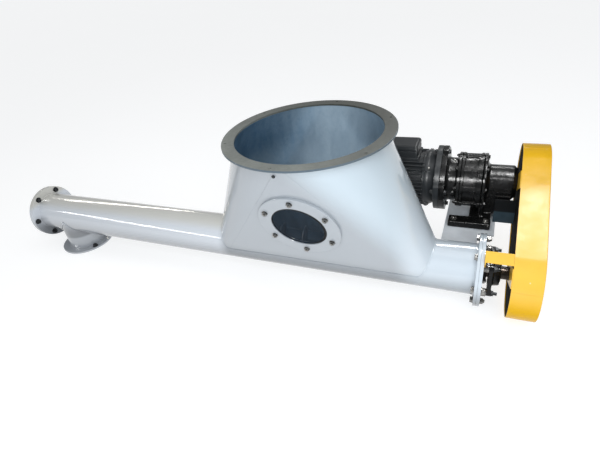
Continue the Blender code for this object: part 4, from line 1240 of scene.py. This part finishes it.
class CONVEYOR_OT_motor(ConveyorMaker, bpy.types.Operator):
    """Make the motor: flange, end shield, finned body, terminal box and fan cover"""

    bl_idname = "conveyor.motor"
    bl_label = "Motor"

    def execute(self, context):
        flange = lobed("motor_flange_plate", 2.305, 2.3307)
        place(flange, "motor_charcoal", "motor_flange", at=MOTOR_AXIS)
        places = along_axis(2.3551, 0.14, spread(4), MOTOR_CENTRE)
        show(copies(fastener(0.012, 0.05, tail=0.005), places, "motor_flange_bolts"), "dark_fastener")
        shield = turned("shield", [
            (0.118, 2.3047), (0.12, 2.3), (0.1255, 2.29), (0.13, 2.282), (0.1335, 2.276),
            (0.1345, 2.272), (0.1345, 2.261), (0.1325, 2.258),
        ], 96)
        lugs = around(block("lug", (0.124, -0.014, 2.2585), (0.143, 0.014, 2.2745), 0.003), spread(4, 45))
        place(joined("motor_shield", [shield, lugs]), "motor_charcoal", "motor_end_shield", at=MOTOR_AXIS)
        places = along_axis(2.2745, 0.1345, spread(4, 45), MOTOR_CENTRE)
        show(copies(fastener(0.009), places, "motor_shield_screws"), "zinc_plate")

        core = turned("core", [
            (0.119, 1.9502), (0.13, 1.9502), (0.13, 1.962), (0.1215, 1.966), (0.1215, 2.244),
            (0.13, 2.248), (0.13, 2.2577), (0.119, 2.2577),
        ], 96)
        root = context.scene.conveyor_sizes.fin_thickness / 2 * 1.35
        fin = block("fin", (0.118, -root, 1.954), (0.1368, root, 2.254))
        edit(fin, lambda p, n: p.x > 0.13)
        bpy.ops.transform.resize(value=(1, 0.7, 1), center_override=(0, 0, 0))
        angles = [a for a in spread(44) if abs(math.degrees(a) - 90) > 26]
        fins = around(bevel(leave(), 0.0008, 1), angles)
        saddle = block("saddle", (-0.066, 0.09, 2.08), (0.066, 0.13, 2.227), 0.006, 3)
        body = joined("motor_frame", [core, fins, saddle])
        place(body, "motor_charcoal", "motor_body", at=MOTOR_AXIS, angle=25)

        lid, top = 0.366, 0.387
        corner = (2.087, MOTOR_Y - 0.06, MOTOR_Z + 0.122)
        box = block("box", corner, (2.22, MOTOR_Y + 0.06, lid), 0.01, 4)
        cover = block("lid", (2.085, MOTOR_Y - 0.062, lid - 0.006), (2.222, MOTOR_Y + 0.062, top))
        edit(cover, lambda p, n: p.z > top - 0.001)
        bpy.ops.transform.resize(value=(0.93, 0.92, 1), center_override=(2.1535, MOTOR_Y, top))
        bevel(leave(), 0.011, 5, 20)
        gland = turned("gland", [
            (0.0175, 0.0), (0.0175, 0.006), (0.0145, 0.007), (0.0145, 0.02), (0.0115, 0.026),
            (0.0085, 0.027),
        ], 12)
        spot = Matrix.Translation((2.1535, MOTOR_Y + 0.0585, 0.34))
        carry(gland, spot @ Matrix.Rotation(-math.pi / 2, 4, "X"))
        case = joined("terminal_case", [box, cover, gland])
        place(case, "motor_charcoal", "terminal_box", turn=UPRIGHT)

        fan = turned("fan", [
            (0.136, 1.9497), (0.138, 1.948), (0.138, 1.905), (0.136, 1.896), (0.131, 1.888),
            (0.124, 1.882), (0.116, 1.88), (0.112, 1.88), (0.112, 1.882), (0.123, 1.885),
            (0.133, 1.9), (0.135, 1.908), (0.135, 1.9497),
        ], 96, closed=True)
        spoke = block("spoke", (0.026, -0.003, 1.8806), (0.113, 0.003, 1.8836), 0.0006, 1)
        blade = block("blade", (0.03, -0.0015, 1.89), (0.112, 0.0015, 1.9195), 0.0005, 1)
        parts = [
            fan, around(spoke, spread(8, 22.5)), around(blade, spread(9)),
            turned("hub", [(0.026, 1.8836), (0.027, 1.8826), (0.027, 1.8812), (0.0255, 1.8802)], 48),
            turned("wall", [(0.132, 1.92), (0.132, 1.922)], 48),
        ]
        for radius in (0.03, 0.046, 0.062, 0.078, 0.094, 0.11):
            parts.append(ring("bar", radius + 0.0022, radius - 0.0022, 1.8803, 1.8833, 72, 0.0006))
        place(joined("fan_cover_shell", parts), "motor_charcoal", "motor_fan_cover", at=MOTOR_AXIS)
        return {"FINISHED"}


class CONVEYOR_OT_fasteners(ConveyorMaker, bpy.types.Operator):
    """Make the bolts of the round flanges"""

    bl_idname = "conveyor.fasteners"
    bl_label = "Flange bolts"

    def execute(self, context):
        size = context.scene.conveyor_sizes.flange_bolt
        places = along_axis(0, FLANGE_BOLT_R, spread(6))
        show(copies(fastener(size, 0.0243, tail=0.004), places, "discharge_flange_bolts"), "dark_fastener")
        places = along_axis(TUBE_END - PLATE_T, FLANGE_BOLT_R, spread(6), turn=BACK_X)
        show(copies(fastener(size, 0.026), places, "drive_flange_bolts"), "zinc_plate")
        places = []
        for a in spread(2, -26):
            x, y = SPOUT_X + FLANGE_BOLT_R * math.cos(a), FLANGE_BOLT_R * math.sin(a)
            places.append(station((x, y, SPOUT_FACE + PLATE_T)))
        show(copies(fastener(size), places, "spout_flange_bolts"), "dark_fastener")
        return {"FINISHED"}


PLAIN = (1.0, 1.0, 1.0)
COOL = (0.9, 0.95, 1.0)
WARM = (1.0, 0.95, 0.86)

# Each lamp's name, two ends, width, power, colour, what it faces, and the surfaces that it lights
LAMPS = (
    ("overhead", (-0.6, 0.3, 3.4), (3.8, 0.3, 3.4), 2.2, 26.0, PLAIN, (1.6, 0.0, 0.0), "both"),
    ("camera_softbox", (1.85, -1.85, 1.5), (3.45, -1.85, 1.5), 1.6, 50.0, COOL, (2.0, 0.0, 0.2), "matt"),
    ("streak_reducer", (2.27, 0.035, 0.389), (2.5, 0.035, 0.389), 0.05, 3.2, PLAIN,
     (2.385, 0.985, 0.7), "glossy"),
    ("streak_nose", (2.51, 0.136, 0.494), (2.7, 0.136, 0.494), 0.035, 1.0, PLAIN,
     (2.605, 1.136, 0.694), "glossy"),
    ("ceiling_window", (2.79, 0.16, 2.3), (3.06, 0.16, 2.3), 0.58, 70.0, PLAIN, (2.75, 0.1, 0.1), "glossy"),
    ("streak_left", (-1.72, -1.35, 1.02), (0.02, -2.16, 0.524), 0.07, 12.0, PLAIN, (0.8, 0.0, 0.0), "glossy"),
    ("streak_back", (-1.74, 0.79, 1.47), (-0.38, 1.91, 0.8), 0.1, 12.0, WARM, (0.7, 0.0, 0.1), "glossy"),
    ("streak_motor", (2.1, 1.62, 2.0), (2.7, 2.15, 1.4), 0.05, 14.0, PLAIN, (2.45, 0.1, 0.1), "glossy"),
)


def strip_light(name, start, end, width, power, colour, towards, lights):
    """A long lamp between two stations, facing a third one."""
    start, end, towards = (Vector(p) + STATION for p in (start, end, towards))
    middle = (start + end) / 2
    along = (end - start).normalized()
    back = (middle - towards).normalized()
    back = (back - along * back.dot(along)).normalized()
    data = bpy.data.lights.new(name, "AREA")
    data.shape = "RECTANGLE"
    data.size = (end - start).length
    data.size_y = width
    data.energy = power
    data.color = colour
    lamp = bpy.data.objects.new(name, data)
    turn = Matrix((along, back.cross(along), back)).transposed().to_4x4()
    lamp.matrix_world = Matrix.Translation(middle) @ turn
    lamp.visible_camera = False
    lamp.visible_diffuse = lights != "glossy"
    lamp.visible_glossy = lights != "matt"
    bpy.context.scene.collection.objects.link(lamp)


class CONVEYOR_OT_stage(ConveyorMaker, bpy.types.Operator):
    """Make the floor, the studio light and the camera"""

    bl_idname = "conveyor.stage"
    bl_label = "Stage"

    def execute(self, context):
        scene = context.scene
        bpy.ops.object.select_all(action="DESELECT")
        reach = scene.conveyor_sizes.floor_reach
        bpy.ops.mesh.primitive_plane_add(size=reach, location=(STATION.x + 1.4, 0, FLOOR_Z - 0.001))
        floor = carry(named("studio_floor"))

        def paper(w):
            return {
                "Base Color": w.noise(0.8, 2.0).mix((0.44, 0.44, 0.44), (0.46, 0.46, 0.46)),
                "Roughness": 0.9,
                "Specular IOR Level": 0.1,
                "Emission Color": (0.99, 0.995, 1.0),
                "Emission Strength": 0.7,
            }

        floor.data.materials.append(new_finish("floor_paper", paper))

        world = bpy.data.worlds.new("studio_air")
        world.use_nodes = True
        sky = next(n for n in world.node_tree.nodes if n.type == "BACKGROUND")
        sky.inputs["Color"].default_value = (0.95, 0.975, 1.0, 1)
        sky.inputs["Strength"].default_value = 0.44
        scene.world = world
        for lamp in LAMPS:
            strip_light(*lamp)

        data = bpy.data.cameras.new("camera")
        data.lens = 26.226
        data.sensor_width = 36.0
        data.clip_start = 0.05
        data.clip_end = 100.0
        camera = bpy.data.objects.new("camera", data)
        camera.location = (0.35445, -1.55521, 0.66976)
        camera.rotation_euler = [math.radians(angle) for angle in (56.22586, 7.30419, 22.13108)]
        scene.collection.objects.link(camera)
        scene.camera = camera
        scene.view_settings.view_transform = "Standard"
        return {"FINISHED"}


OPERATORS = (
    CONVEYOR_OT_finishes, CONVEYOR_OT_tube, CONVEYOR_OT_spout, CONVEYOR_OT_hopper, CONVEYOR_OT_inlet_ring,
    CONVEYOR_OT_sight_glass, CONVEYOR_OT_screw, CONVEYOR_OT_bearings, CONVEYOR_OT_guard, CONVEYOR_OT_base,
    CONVEYOR_OT_reducer, CONVEYOR_OT_motor, CONVEYOR_OT_fasteners, CONVEYOR_OT_stage,
)


class CONVEYOR_PT_panel(bpy.types.Panel):
    """Sizes, colours and the steps that make the conveyor"""

    bl_idname = "CONVEYOR_PT_panel"
    bl_label = "Screw Conveyor"
    bl_space_type = "VIEW_3D"
    bl_region_type = "UI"
    bl_category = "Conveyor"

    def draw(self, context):
        layout = self.layout
        for group in (context.scene.conveyor_sizes, context.scene.conveyor_colours):
            column = layout.column(align=True)
            for key in group.__annotations__:
                column.prop(group, key)
        column = layout.column(align=True)
        for operator in OPERATORS:
            column.operator(operator.bl_idname)


CLASSES = (ConveyorSizes, ConveyorColours) + OPERATORS + (CONVEYOR_PT_panel,)


def register():
    for cls in CLASSES:
        bpy.utils.register_class(cls)
    bpy.types.Scene.conveyor_sizes = PointerProperty(type=ConveyorSizes)
    bpy.types.Scene.conveyor_colours = PointerProperty(type=ConveyorColours)


def unregister():
    del bpy.types.Scene.conveyor_colours
    del bpy.types.Scene.conveyor_sizes
    for cls in reversed(CLASSES):
        bpy.utils.unregister_class(cls)


def main():
    """Make everything in order."""
    register()
    for operator in OPERATORS:
        group, step = operator.bl_idname.split(".")
        getattr(getattr(bpy.ops, group), step)()


if __name__ == "__main__":
    main()
